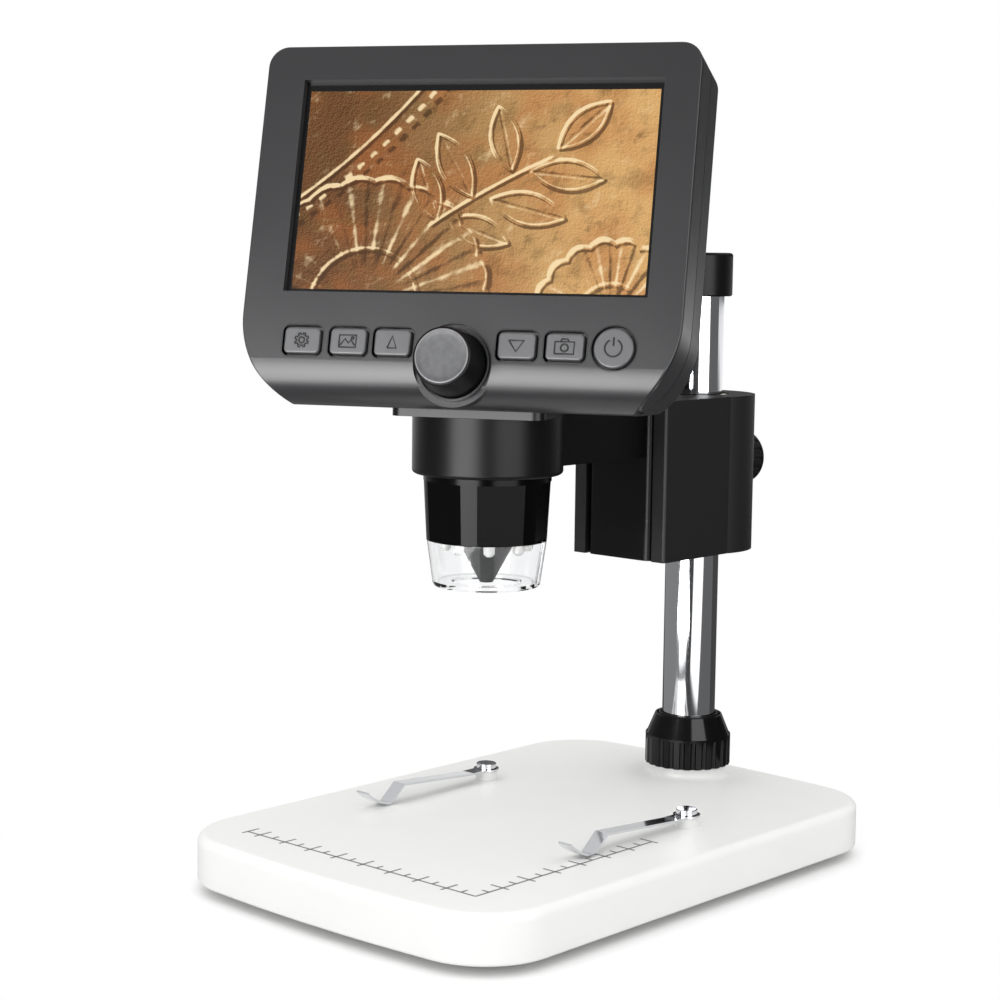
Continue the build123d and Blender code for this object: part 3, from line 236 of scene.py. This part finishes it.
# ---- Column ----------------------------------------------------------------------------------
# Chromed steel tube, 16 mm, closed by a turned-over black cap and held in the base by a split
# black collet under a ribbed glossy nut.

chrome = Finish("chrome", {"Metallic": 1.0})
haze = chrome.noise(9.0, 3.0, (1, 1, 3))
chrome.feed("Base Color", chrome.blend(haze, paint("e2e3e6"), paint("d8d9dc")))
chrome.feed("Roughness", 0.05 + 0.04 * haze)
chrome.wear(
    "column_tube", "stage_clip_left", "stage_clip_right", "clip_screw_left", "clip_screw_right"
)

nylon = moulded("nylon", "dddad0", "d2cec2", 0.45, grain=0.8, depth=0.006)
nylon.wear("column_plug", "column_liner", "clamp_pad")

satin_black = moulded(
    "satin_black", "0b0b0c", "070708", 0.33, grain=0.3, depth=0.003, specular=0.19
)
satin_black.wear("column_cap", "column_collet", "holder_arm")

gloss_black = moulded(
    "gloss_black", "040405", "030304", 0.12, grain=1.5, depth=0.002, specular=0.25
)
gloss_black.wear("collar_nut")

# ---- Slider ----------------------------------------------------------------------------------
# Black anodised block with a channel down its front, in which the holder's plate is fixed, and a
# knurled clamp knob at its back. The holder carries the head in a ring.

matte_black = moulded("matte_black", "101011", "0b0b0c", 0.5, grain=0.22, depth=0.008, specular=0.4)
matte_black.wear("slider_block")

knob_black = moulded("knob_black", "101011", "0b0b0c", 0.4, grain=0.3, depth=0.008, specular=0.35)
knob_black.wear("clamp_knob", "dimmer_wheel")

# ---- Head casing -----------------------------------------------------------------------------
# Charcoal ABS in two halves that meet in a seam round the side. Satin skin with a fine grain; the
# front half rolls under at the chin.

charcoal = moulded("charcoal_abs", "2e2e30", "2a2a2c", 0.36, grain=0.3, depth=0.005, specular=0.35)
charcoal.wear("rear_shell")

barrel_black = moulded(
    "barrel_black", "0b0b0c", "080809", 0.32, grain=0.3, depth=0.003, specular=0.3
)
barrel_black.wear("barrel_housing", "lens_carriage")

# The face's own directions: across to its right, up along it, and out of it towards the user.
head_turn, head_lean = math.radians(25.9), math.radians(15.4)
across = Vector((math.cos(head_turn), math.sin(head_turn), 0))
forward = Vector((math.sin(head_turn), -math.cos(head_turn), 0))
outward = forward * math.cos(head_lean) + Vector((0, 0, math.sin(head_lean)))
up_face = outward.cross(across)
screen_centre = Vector((5.093, -42.812, 189.8)) * MM


def on_face(x, b, depth):
    """The point x mm across, b mm up and `depth` mm out of the screen's plane."""
    return screen_centre + (across * x + up_face * b + outward * depth) * MM


# ---- Display ---------------------------------------------------------------------------------
# A 4.3 inch panel behind the window. Its picture is a live view of struck copper under the lens:
# a ribbed fan, a leafy branch and a beaded rim, in warm metal colours with bright ridges.

panel_glass = Finish("panel_edge", {"Base Color": paint("070708")})
panel_glass.feed("Roughness", 0.15 + 0.1 * panel_glass.noise(12.0))
panel_glass.wear("lcd_panel")

picture_width, picture_height, picture_shift, picture_depth = 95.04, 53.86, 0.8, 0.05


def face_sheet(name, x, b, depth, width, height):
    """A flat sheet on the face, with texture coordinates from 0 to 1 across it and up it."""
    mesh = bmesh.new()
    corners = [(-0.5, -0.5), (0.5, -0.5), (0.5, 0.5), (-0.5, 0.5)]
    verts = [mesh.verts.new(on_face(x + u * width, b + v * height, depth)) for u, v in corners]
    face = mesh.faces.new(verts)
    layer = mesh.loops.layers.uv.new("sheet")
    for loop, (u, v) in zip(face.loops, corners):
        loop[layer].uv = (u + 0.5, v + 0.5)
    return mesh_piece(name, mesh)


picture = face_sheet(
    "screen_picture", picture_shift, 0.0, picture_depth, picture_width, picture_height
)
struck = Finish("screen_copper", {
    "Base Color": paint("020202"),
    "Roughness": 0.3,
    "Specular IOR Level": 0.2,
    "Emission Strength": 1.0,
})
sheet_place = struck.place.node("ShaderNodeTexCoord", output="UV")
sheet_x = (coordinate(sheet_place, "X") - 0.5) * picture_width
sheet_y = (coordinate(sheet_place, "Y") - 0.5) * picture_height


def rise(value, low, high):
    """From 0 below `low` to 1 above `high`, smoothly."""
    inputs = {"Value": value, "From Min": low, "From Max": high}
    return value.node("ShaderNodeMapRange", {"interpolation_type": "SMOOTHSTEP"}, inputs)


def distance(first, second):
    squared = first * first + second * second
    return squared.math("SQRT", squared)


def ridge(offset, half):
    """A raised line where the offset, in mm, is near 0."""
    return 1 - rise(offset.math("ABSOLUTE", offset), 0.25 * half, half)


def fan(x, y, middle_x, middle_y, reach, ribs):
    """A shell: ribs that spread from its foot, a scalloped edge, and an inner band."""
    from_x, from_y = x - middle_x, y - middle_y
    out = distance(from_x, from_y)
    turn = from_x.math("ARCTAN2", from_y, from_x)
    wave = turn.math("COSINE", turn * ribs)
    scallop = reach + 1.3 * wave.math("ABSOLUTE", wave)
    inside = 1 - rise(out - scallop, -0.4, 0.4)
    band = ridge(out - scallop, 1.1) + 0.8 * ridge(out - 0.45 * reach, 0.9)
    ribbed = 0.3 + 0.5 * rise(wave * wave, 0.1, 0.8)
    return inside * ribbed * rise(out, 0.25 * reach, 0.5 * reach) + 0.6 * band


def leaf(x, y, root_x, root_y, bearing, length, breadth):
    """A pointed leaf from its root along a bearing in degrees, with an edge and a midrib."""
    c, s = math.cos(math.radians(bearing)), math.sin(math.radians(bearing))
    along = (x - root_x) * (c / length) + (y - root_y) * (s / length)
    side = (y - root_y) * (c / breadth) - (x - root_x) * (s / breadth)
    spread = side.math("ABSOLUTE", side)
    edge = spread - 4 * along * (1 - along)
    body = 1 - rise(edge, -0.12, 0.02)
    midrib = 1 - rise(spread, 0.02, 0.16)
    on_leaf = rise(along, -0.05, 0.02) * (1 - rise(along, 0.98, 1.05))
    return body * (0.5 - 0.3 * midrib) + 0.7 * ridge(edge * breadth, 0.75) * on_leaf


# Each fan's foot, reach and number of ribs; each leaf's root, bearing, length and breadth.
fan_shapes = [(-27.0, -31.0, 33.0, 11), (39.0, -33.0, 19.0, 9)]
leaf_shapes = [
    (-9.0, -8.5, 112, 18.0, 3.8),
    (0.0, -2.0, 122, 20.0, 4.0),
    (10.0, 5.0, 106, 18.0, 3.8),
    (-6.0, -8.0, -20, 18.0, 3.8),
    (5.0, -2.5, -14, 21.0, 4.2),
    (15.0, 5.0, -6, 20.0, 4.0),
    (22.0, 11.0, 44, 18.0, 3.8),
]
stem_rise, stem_drop, stem_bow, stem_half = 0.62, 2.5, 0.004, 0.8
rim_x, rim_y, rim_radius, rim_half = -150.0, 135.0, 171.5, 0.8
bead_radius, bead_half, bead_pitch = 176.0, 2.0, 4.4


def struck_relief(x, y):
    """Height of the metal, 0 for its ground, at a point of the picture in mm."""
    height = fan(x, y, *fan_shapes[0]) + fan(x, y, *fan_shapes[1])
    stem = y - stem_rise * x + stem_drop + stem_bow * x * x
    on_stem = rise(x, -12, -9) * (1 - rise(x, 20, 22))
    height = height + 0.6 * ridge(stem, stem_half) * on_stem
    for shape in leaf_shapes:
        height = height.math("MAXIMUM", height, leaf(x, y, *shape))
    from_x, from_y = x - rim_x, y - rim_y
    out = distance(from_x, from_y)
    around = out.math("ARCTAN2", from_y, from_x)
    bead = around.math("COSINE", around * (2 * math.pi * bead_radius / bead_pitch))
    beads = ridge(out - bead_radius, bead_half) * rise(bead, -0.6, 0.6)
    return height + 0.7 * beads + 0.5 * ridge(out - rim_radius, rim_half)


grain_place = vector_math("MULTIPLY", sheet_place, (picture_width, picture_height, 1.0))


def struck_grain(shift, lump, detail=4.0):
    """Noise over the picture, lumps in mm, shifted towards the light by `shift` mm."""
    moved = vector_math("ADD", grain_place, (shift, -shift, 0))
    inputs = {"Vector": moved, "Scale": 1 / lump, "Detail": detail}
    return moved.node("ShaderNodeTexNoise", {"noise_dimensions": "2D"}, inputs)


def grain_slope(shift, lump, detail=4.0):
    """The grain's fall towards the light."""
    return struck_grain(shift, lump, detail) - struck_grain(-shift, lump, detail)


# The light comes from the upper left: the slope is the relief's fall across a short step to it.
step = 0.32
slope = struck_relief(sheet_x + step, sheet_y - step) - struck_relief(
    sheet_x - step, sheet_y + step
)
fine_slope = grain_slope(0.15, 1.1)
broad_slope = grain_slope(0.6, 7.0, 2.0)
speck_slope = grain_slope(0.1, 0.5, 2.0)
pitting = rise(0.5 * fine_slope + speck_slope, -0.3, 0.3)
shading = 1.4 * slope + 0.35 * fine_slope + 1.2 * broad_slope
tarnish = struck_grain(0.0, 13.0, 3.0)
warmth = struck_grain(4.0, 17.0, 2.0)
left_to_right = rise(sheet_x + 14 * (tarnish - 0.5), -40, 42)
ground = struck.blend(left_to_right, paint("5e3414"), paint("e0b070"))
ground = struck.blend(rise(warmth, 0.35, 0.7) * 0.45, ground, paint("b5632a"))
ground = struck.blend(rise(struck_grain(9.0, 6.0, 3.0), 0.5, 0.75) * 0.35, ground, paint("5c481c"))
ground = struck.blend((1 - pitting) * 0.22, ground, paint("4a260c"))
ground = struck.blend(pitting * 0.12, ground, paint("f2c98c"))
shade = struck.blend(rise(0 - shading, 0.06, 0.6) * 0.75, ground, paint("452a14"))
struck.feed("Emission Color", struck.blend(rise(shading, 0.08, 0.75) * 0.9, shade, paint("fae0b0")))
picture.data.materials.append(struck.material)
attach(picture, "head")

# ---- Keys ------------------------------------------------------------------------------------
# Six grey keys in the chin, each with a small sign moulded in fine lines that stand out of it.

key_grey = moulded("key_grey", "626264", "58585a", 0.36, grain=0.3, depth=0.006)
sign_grey = moulded("key_sign", "1d1d1e", "161617", 0.45, grain=0.3, depth=0.004, specular=0.3)
key_row, key_front, sign_line = -41.3, 2.9, 0.23
key_places = {"menu": -41.25, "gallery": -28.55, "up": -16.4, "down": 16.75, "camera": 29.35}
power_x, power_reach, knob_row = 41.95, 5.1, -46.3
key_half_width, key_half_height, key_corner = 4.85, 3.4, 1.2
# How far the painted shade reaches past the keys' outlines and from the knob's axis, in mm, and how
# softly it fades.
well_shade_edge, well_shade_soft, moat_shade_reach, moat_shade_soft = 1.05, 0.12, 9.45, 0.1

# The front half's skin, with painted shade: black where it goes down into the key wells and the
# knob's moat.
skin = Finish("charcoal_face", {"Specular IOR Level": 0.5})
from_centre = vector_math("SUBTRACT", skin.place, screen_centre)


def along_face(direction):
    """Place on the face in mm, along one of its own directions."""
    return vector_math("DOT_PRODUCT", from_centre, direction / MM, "Value")


face_x, face_b = along_face(across), along_face(up_face)


def past_box(middle_x):
    """How far outside a key's rounded outline the point lies, in mm."""
    side, above = face_x - middle_x, face_b - key_row
    side = side.math("ABSOLUTE", side) - (key_half_width - key_corner)
    above = above.math("ABSOLUTE", above) - (key_half_height - key_corner)
    past_corner = distance(side.math("MAXIMUM", side, 0.0), above.math("MAXIMUM", above, 0.0))
    return past_corner - key_corner


nearest = distance(face_x - power_x, face_b - key_row) - power_reach
for middle_x in key_places.values():
    nearest = nearest.math("MINIMUM", nearest, past_box(middle_x))
from_knob = distance(face_x, face_b - knob_row)
# Painted shade: masks for the dark round the keys and in the knob's moat, where shade falls.
well_shade = 1 - rise(nearest, well_shade_edge - well_shade_soft, well_shade_edge + well_shade_soft)
moat_shade = 1 - rise(from_knob, moat_shade_reach - moat_shade_soft, moat_shade_reach + moat_shade_soft)
painted_recess_shade = moat_shade.math("MAXIMUM", well_shade, moat_shade)
skin_cloud = skin.noise(28.0, 3.0)
skin_tone = skin.blend(skin_cloud, paint("2e2e30"), paint("2a2a2c"))
# The painted shade turns the skin black in the key wells and the moat.
skin.feed("Base Color", skin.blend(painted_recess_shade, skin_tone, paint("030303")))
skin.feed("Roughness", 0.27 + 0.1 * skin_cloud)
skin.bump(skin.noise(0.3, 1.5), 0.005)
skin.wear("front_shell")


def ring_of(radius, start=0, end=360, steps=28):
    """Points on a circle, in mm from the key's middle."""
    angles = [math.radians(start + (end - start) * k / steps) for k in range(steps + 1)]
    return [(radius * math.cos(a), radius * math.sin(a)) for a in angles]


def gear_outline(root, tip, teeth):
    """A cog's outline with straight teeth."""
    points = []
    for tooth in range(teeth):
        for share, radius in ((0.0, root), (0.28, root), (0.36, tip), (0.72, tip), (0.8, root)):
            angle = 2 * math.pi * (tooth + share) / teeth
            points.append((radius * math.cos(angle), radius * math.sin(angle)))
    return points + points[:1]


def box_outline(width, height, drop=0.0):
    """A box round the key's middle, or lower by `drop`."""
    w, h = width / 2, height / 2
    return [(-w, -h - drop), (w, -h - drop), (w, h - drop), (-w, h - drop), (-w, -h - drop)]


key_signs = {
    "menu": [gear_outline(1.45, 1.95, 8), ring_of(0.75)],
    "gallery": [
        box_outline(4.6, 3.2),
        [(-2.0, -1.1), (-0.7, 0.6), (0.2, -0.5), (0.9, 0.3), (2.0, -1.1)],
        [(1.3 + x, 0.85 + y) for x, y in ring_of(0.32, steps=12)],
    ],
    "up": [[(-1.25, -1.5), (1.25, -1.5), (0.0, 1.6), (-1.25, -1.5)]],
    "down": [[(-2.0, 1.3), (2.0, 1.3), (0.0, -1.6), (-2.0, 1.3)]],
    "camera": [
        box_outline(5.0, 3.1, 0.3),
        [(-1.1, 1.25), (-0.7, 1.95), (0.7, 1.95), (1.1, 1.25)],
        [(x, y - 0.3) for x, y in ring_of(0.95)],
    ],
    "power": [ring_of(2.2, 118, 422), [(0.0, 0.5), (0.0, 2.7)]],
}
for name, strokes in key_signs.items():
    key_x = key_places.get(name, power_x)
    key_grey.wear(f"{name}_button")
    lines = bpy.data.curves.new(f"{name}_sign", "CURVE")
    lines.dimensions = "3D"
    lines.bevel_depth = sign_line * MM
    lines.bevel_resolution = 2
    for stroke in strokes:
        spline = lines.splines.new("POLY")
        spline.points.add(len(stroke) - 1)
        for point, (x, b) in zip(spline.points, stroke):
            point.co = (*on_face(key_x + x, key_row + b, key_front), 1.0)
    sign = place_in_scene(f"{name}_sign", lines)
    lines.materials.append(sign_grey.material)
    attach(sign, f"{name}_button")

# ---- Inside the head -------------------------------------------------------------------------
# Boards with green resist, a wrapped cell, silver connectors and a silicone key mat.

board = moulded("board_green", "1f5a38", "1a4c30", 0.35, grain=2.0, depth=0.01)
board.wear("main_board", "key_board", "sensor_board")
white_board = moulded("board_white", "d9d9d4", "cfcfca", 0.4, grain=2.0, depth=0.01)
white_board.wear("led_board")
cell = moulded("battery_wrap", "6a6d72", "5d6065", 0.35, grain=3.0, depth=0.02)
cell.wear("battery")
silicone = moulded("key_silicone", "2a2a2b", "242425", 0.7)
silicone.wear("key_mat")
port_steel = Finish("port_steel", {"Metallic": 1.0})
port_tone = port_steel.blend(port_steel.noise(2.0), paint("b9bbbd"), paint("a6a8aa"))
port_steel.feed("Base Color", port_tone)
port_steel.feed("Roughness", 0.25 + 0.1 * port_steel.noise(4.0))
port_steel.wear("data_port", "card_slot")

# ---- Focus drive -----------------------------------------------------------------------------
# Moulded black knob with a satin grey disc let into its end, on a brass pinion in a brass bush.

knob_side = moulded("focus_black", "060607", "040405", 0.42, grain=0.25, depth=0.008, specular=0.2)
knob_side.wear("focus_knob")
brass = Finish("brass", {"Metallic": 1.0})
brass.feed("Base Color", brass.blend(brass.noise(1.5), paint("c9a860"), paint("b89650")))
brass.feed("Roughness", 0.3 + 0.1 * brass.noise(3.0))
brass.wear("focus_pinion", "shaft_bushing")

# The disc's section from its middle to its rim: radius, and height above the knob's end.
disc_section = [(0.0, 0.02), (5.2, 0.02), (6.3, 0.07), (6.75, 0.16), (7.0, 0.14), (7.05, -0.1)]
# Steps round the disc, the knob end's distance out of the face, and the radii of the painted
# highlight on the disc's rim.
disc_steps, knob_face, highlight_inner, highlight_outer = 72, 11.4, 6.65, 6.8
disc_mesh = bmesh.new()
rings = []
for radius, proud in disc_section[1:]:
    angles = [2 * math.pi * k / disc_steps for k in range(disc_steps)]
    rings.append([
        disc_mesh.verts.new(on_face(
            radius * math.cos(a), knob_row + radius * math.sin(a), knob_face + proud
        ))
        for a in angles
    ])
centre = disc_mesh.verts.new(on_face(0.0, knob_row, knob_face + disc_section[0][1]))
for k in range(disc_steps):
    disc_mesh.faces.new((centre, rings[0][k], rings[0][(k + 1) % disc_steps]))
    for inner, outer in zip(rings, rings[1:]):
        n = (k + 1) % disc_steps
        disc_mesh.faces.new((inner[k], outer[k], outer[n], inner[n]))
for face in disc_mesh.faces:
    face.smooth = True
knob_disc = mesh_piece("knob_disc", disc_mesh)
disc_grey = Finish("knob_disc_grey", {})
knob_end = on_face(0, knob_row, knob_face)
from_axis = vector_math("DISTANCE", disc_grey.place, knob_end, "Value") / MM
worn = disc_grey.noise(1.6, 3.0)
disc_tone = disc_grey.blend(rise(worn, 0.3, 0.7), paint("4c4c4e"), paint("565658"))
# Painted highlight: the disc is lighter grey on its raised rim, where light catches it.
painted_rim_highlight = rise(from_axis, highlight_inner, highlight_outer)
disc_grey.feed("Base Color", disc_grey.blend(painted_rim_highlight, disc_tone, paint("88888a")))
disc_grey.feed("Roughness", 0.28 + 0.15 * worn)
disc_grey.bump(disc_grey.noise(0.25, 2.0), 0.006)
knob_disc.data.materials.append(disc_grey.material)
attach(knob_disc, "focus")

# ---- Lens end --------------------------------------------------------------------------------
# Clear cap on the grip ring, a ring of light-emitting diodes round a dark lens nose.

grip_black = moulded("grip_black", "030304", "020203", 0.2, grain=1.5, depth=0.002, specular=0.11)
grip_black.wear("grip_ring")
nose_grey = moulded("nose_grey", "232325", "1c1c1e", 0.35, grain=0.3, depth=0.003)
nose_grey.wear("lens_nose")
clear = Finish("clear_plastic", {
    "Transmission Weight": 1.0,
    "IOR": 1.38,
    "Base Color": (0.955, 0.96, 0.965, 1),
})
clear.feed("Roughness", 0.02 + 0.03 * clear.noise(5.0))
clear.wear("clear_cap")
glass = Finish("lens_glass", {"Transmission Weight": 1.0, "IOR": 1.52})
glass.feed("Roughness", 0.01 + 0.02 * glass.noise(5.0))
glass.wear("front_lens")
diode = Finish("diode", {"Transmission Weight": 0.35, "IOR": 1.45})
diode.feed("Base Color", diode.blend(diode.noise(1.2), paint("fbfbfa"), paint("efefec")))
diode.feed("Roughness", 0.08 + 0.1 * diode.noise(1.0))
diode.wear("leds")
chip = Finish("sensor_chip", {"Base Color": paint("1a1c24")})
chip.feed("Roughness", 0.1 + 0.1 * chip.noise(2.0))
chip.wear("image_sensor")

# ---- Studio ----------------------------------------------------------------------------------
# White floor under a soft bright ceiling, with two soft boxes standing in front and at the right
# and a dark gap between them. Lengths are in metres here.

camera_data = bpy.data.cameras.new("camera")
camera_data.lens = 78.98
camera_data.sensor_width = 36.0
camera_place = (0.39656, -0.46094, 0.17701)
camera = place_in_scene("camera", camera_data)
azimuth, pitch, roll = math.radians(42.253), math.radians(6.743), math.radians(0.699)
look = Vector(
    (-math.sin(azimuth) * math.cos(pitch), math.cos(azimuth) * math.cos(pitch), -math.sin(pitch))
)
right = Vector((math.cos(azimuth), math.sin(azimuth), 0))
top = right.cross(look)
camera_right = math.cos(roll) * right + math.sin(roll) * top
camera_top = math.cos(roll) * top - math.sin(roll) * right
axes = Matrix((camera_right, camera_top, -look)).transposed().to_4x4()
camera.matrix_world = Matrix.Translation(camera_place) @ axes
bpy.context.scene.camera = camera


def area_lamp(name, width, height, level):
    """A rectangular lamp whose face has that level of brightness."""
    data = bpy.data.lights.new(name, "AREA")
    data.shape = "RECTANGLE"
    data.size, data.size_y = width, height
    data.energy = level * math.pi * width * height
    return place_in_scene(name, data)


def soft_box(name, compass, away, low, high, width, spread, shine):
    """An upright soft box: level `spread` on diffuse surfaces, level `shine` in reflections.

    They are two lamps, and the one for diffuse surfaces stands a little further out.
    """
    angle, behind = math.radians(compass), 0.03
    for part, level, reach in (("spread", spread, away + behind), ("shine", shine, away)):
        place = Vector((math.sin(angle) * reach, -math.cos(angle) * reach, (low + high) / 2))
        lamp = area_lamp(f"{name}_{part}", width, high - low, level)
        lamp.location = place
        lamp.rotation_euler = Vector((-place.x, -place.y, 0)).to_track_quat("-Z", "Y").to_euler()
        lamp.visible_camera = False
        lamp.visible_diffuse = part == "spread"
        lamp.visible_glossy = part == "shine"
        lamp.visible_transmission = part == "shine"


front_compass, front_width = 7, 0.34
soft_box(
    "front_box", front_compass, away=0.50, low=0.0, high=0.31, width=front_width,
    spread=1.1, shine=9.5,
)
soft_box(
    "right_box", 74, away=0.90, low=0.01, high=0.75, width=0.72, spread=0.45, shine=4.5
)

# A white card lies on the floor before the front box; only reflections show it.
card_place = (0, -0.37, 0.002)
card = area_lamp("front_card", front_width, 0.24, 8.0)
to_front = Matrix.Rotation(math.radians(front_compass), 4, "Z") @ Matrix.Translation(card_place)
card.matrix_world = to_front @ Matrix.Rotation(math.pi, 4, "X")
card.visible_camera = card.visible_diffuse = card.visible_transmission = False

world = bpy.data.worlds.new("studio")
bpy.context.scene.world = world
world.use_nodes = True
room = Wire(world.node_tree, None)
direction = room.node("ShaderNodeTexCoord", output="Generated")
away = vector_math("DOT_PRODUCT", direction, look, "Value")
height = coordinate(direction, "Z")
glossy = ray_is(room, "Glossy")
seen = room.math("MAXIMUM", ray_is(room, "Camera"), ray_is(room, "Transmission"))


def between(compass, first, last, soft=2):
    """1 between two compass angles in degrees; each end fades `soft` degrees either way."""
    past_first = rise(compass, math.radians(first - soft), math.radians(first + soft))
    past_last = rise(compass, math.radians(last - soft), math.radians(last + soft))
    return past_first * (1 - past_last)


wall_level, left_extra, right_extra = 0.07, 0.20, 0.08
top_extra, ceiling_level, overhead_extra = 0.45, 0.56, 1.05
front_streak, right_streak, least_white, brightest = 1.9, 1.6, 0.04, 2.5


def walls(compass):
    """The room's level in reflections: lighter at the left, dark behind the camera."""
    at_left, at_right = between(compass, -120, -14), between(compass, 98, 150)
    return wall_level + left_extra * at_left + right_extra * at_right


def bearing(place):
    """Compass angle of a place or a direction, from the front towards +X, in radians."""
    return place.math("ARCTAN2", coordinate(place, "X"), 0 - coordinate(place, "Y"))


# What the camera sees is white. Reflections get the walls, a pale top and the white backdrop
# straight ahead of the camera; diffuse surfaces get a ceiling that is brighter overhead.
backdrop = rise(away, 0.93, 0.98)
surround = walls(bearing(direction)) + top_extra * rise(height, 0.3, 0.7)
mirrored = backdrop + (1 - backdrop) * surround
ceiling = ceiling_level + overhead_extra * rise(height, 0.35, 0.8)
strength = seen + (1 - seen) * (glossy * mirrored + (1 - glossy) * ceiling)
background = world.node_tree.nodes["Background"]
world.node_tree.links.new(strength.socket, background.inputs["Strength"])
background.inputs["Color"].default_value = (1, 1, 1, 1)

floor_mesh = bmesh.new()
bmesh.ops.create_circle(floor_mesh, cap_ends=True, segments=96, radius=6.0)
floor = mesh_piece("floor", floor_mesh)
paper = Finish("floor_paper", {"Base Color": (0.9, 0.9, 0.9, 1), "Roughness": 0.9})
ahead = vector_math("DOT_PRODUCT", paper.place, look, "Value")
base_reach_x, base_reach_y = 0.063, 0.091
past_x, past_y = coordinate(paper.place, "X"), coordinate(paper.place, "Y")
past_x = past_x.math("MAXIMUM", past_x.math("ABSOLUTE", past_x) - base_reach_x, 0.0)
past_y = past_y.math("MAXIMUM", past_y.math("ABSOLUTE", past_y) - base_reach_y, 0.0)
gap_to_base = distance(past_x, past_y)
clear_of_base = rise(gap_to_base, 0.012, 0.075)
floor_compass = bearing(paper.place)
# Painted light: bright streaks on the floor before each soft box, seen only in reflections.
before_front, before_right = between(floor_compass, -12, 26), between(floor_compass, 52, 96)
streaks = front_streak * before_front + right_streak * before_right
floor_shine = walls(floor_compass) + streaks * rise(gap_to_base, 0.09, 0.13)
seen_floor = ahead.math("MAXIMUM", ray_is(ahead, "Camera"), ray_is(ahead, "Transmission"))
floor_glossy = ray_is(ahead, "Glossy")
white_share = seen_floor * (least_white + (1 - least_white) * clear_of_base)
# The floor's painted glow in reflections, as a share of its brightest level.
reflected_glow_tone = paper.blend(floor_shine / brightest, paint("000000"), paint("ffffff"))
reflected_glow_share = floor_glossy * (1 - seen_floor) * (1 - rise(ahead, 0.5, 1.5))


def emission(color, strength):
    return ahead.node("ShaderNodeEmission", {}, {"Color": color, "Strength": strength})


def mix_shader(factor, first, second):
    return ahead.node("ShaderNodeMixShader", {}, {"Fac": factor, 1: first, 2: second})


# Where the camera sees it, the floor is lit paper near the base and plain white further out. In
# reflections it glows at the walls' levels, with a painted pool of light as a streak before each
# soft box.
paper_shader = Wire(paper.tree, paper.shader.outputs[0])
lit = mix_shader(white_share, paper_shader, emission((1, 1, 1, 1), 1.0))
mixed = mix_shader(reflected_glow_share, lit, emission(reflected_glow_tone, brightest))
paper.tree.links.new(mixed.socket, paper.tree.nodes["Material Output"].inputs["Surface"])
floor.data.materials.append(paper.material)

bpy.context.scene.view_settings.view_transform = "Standard"
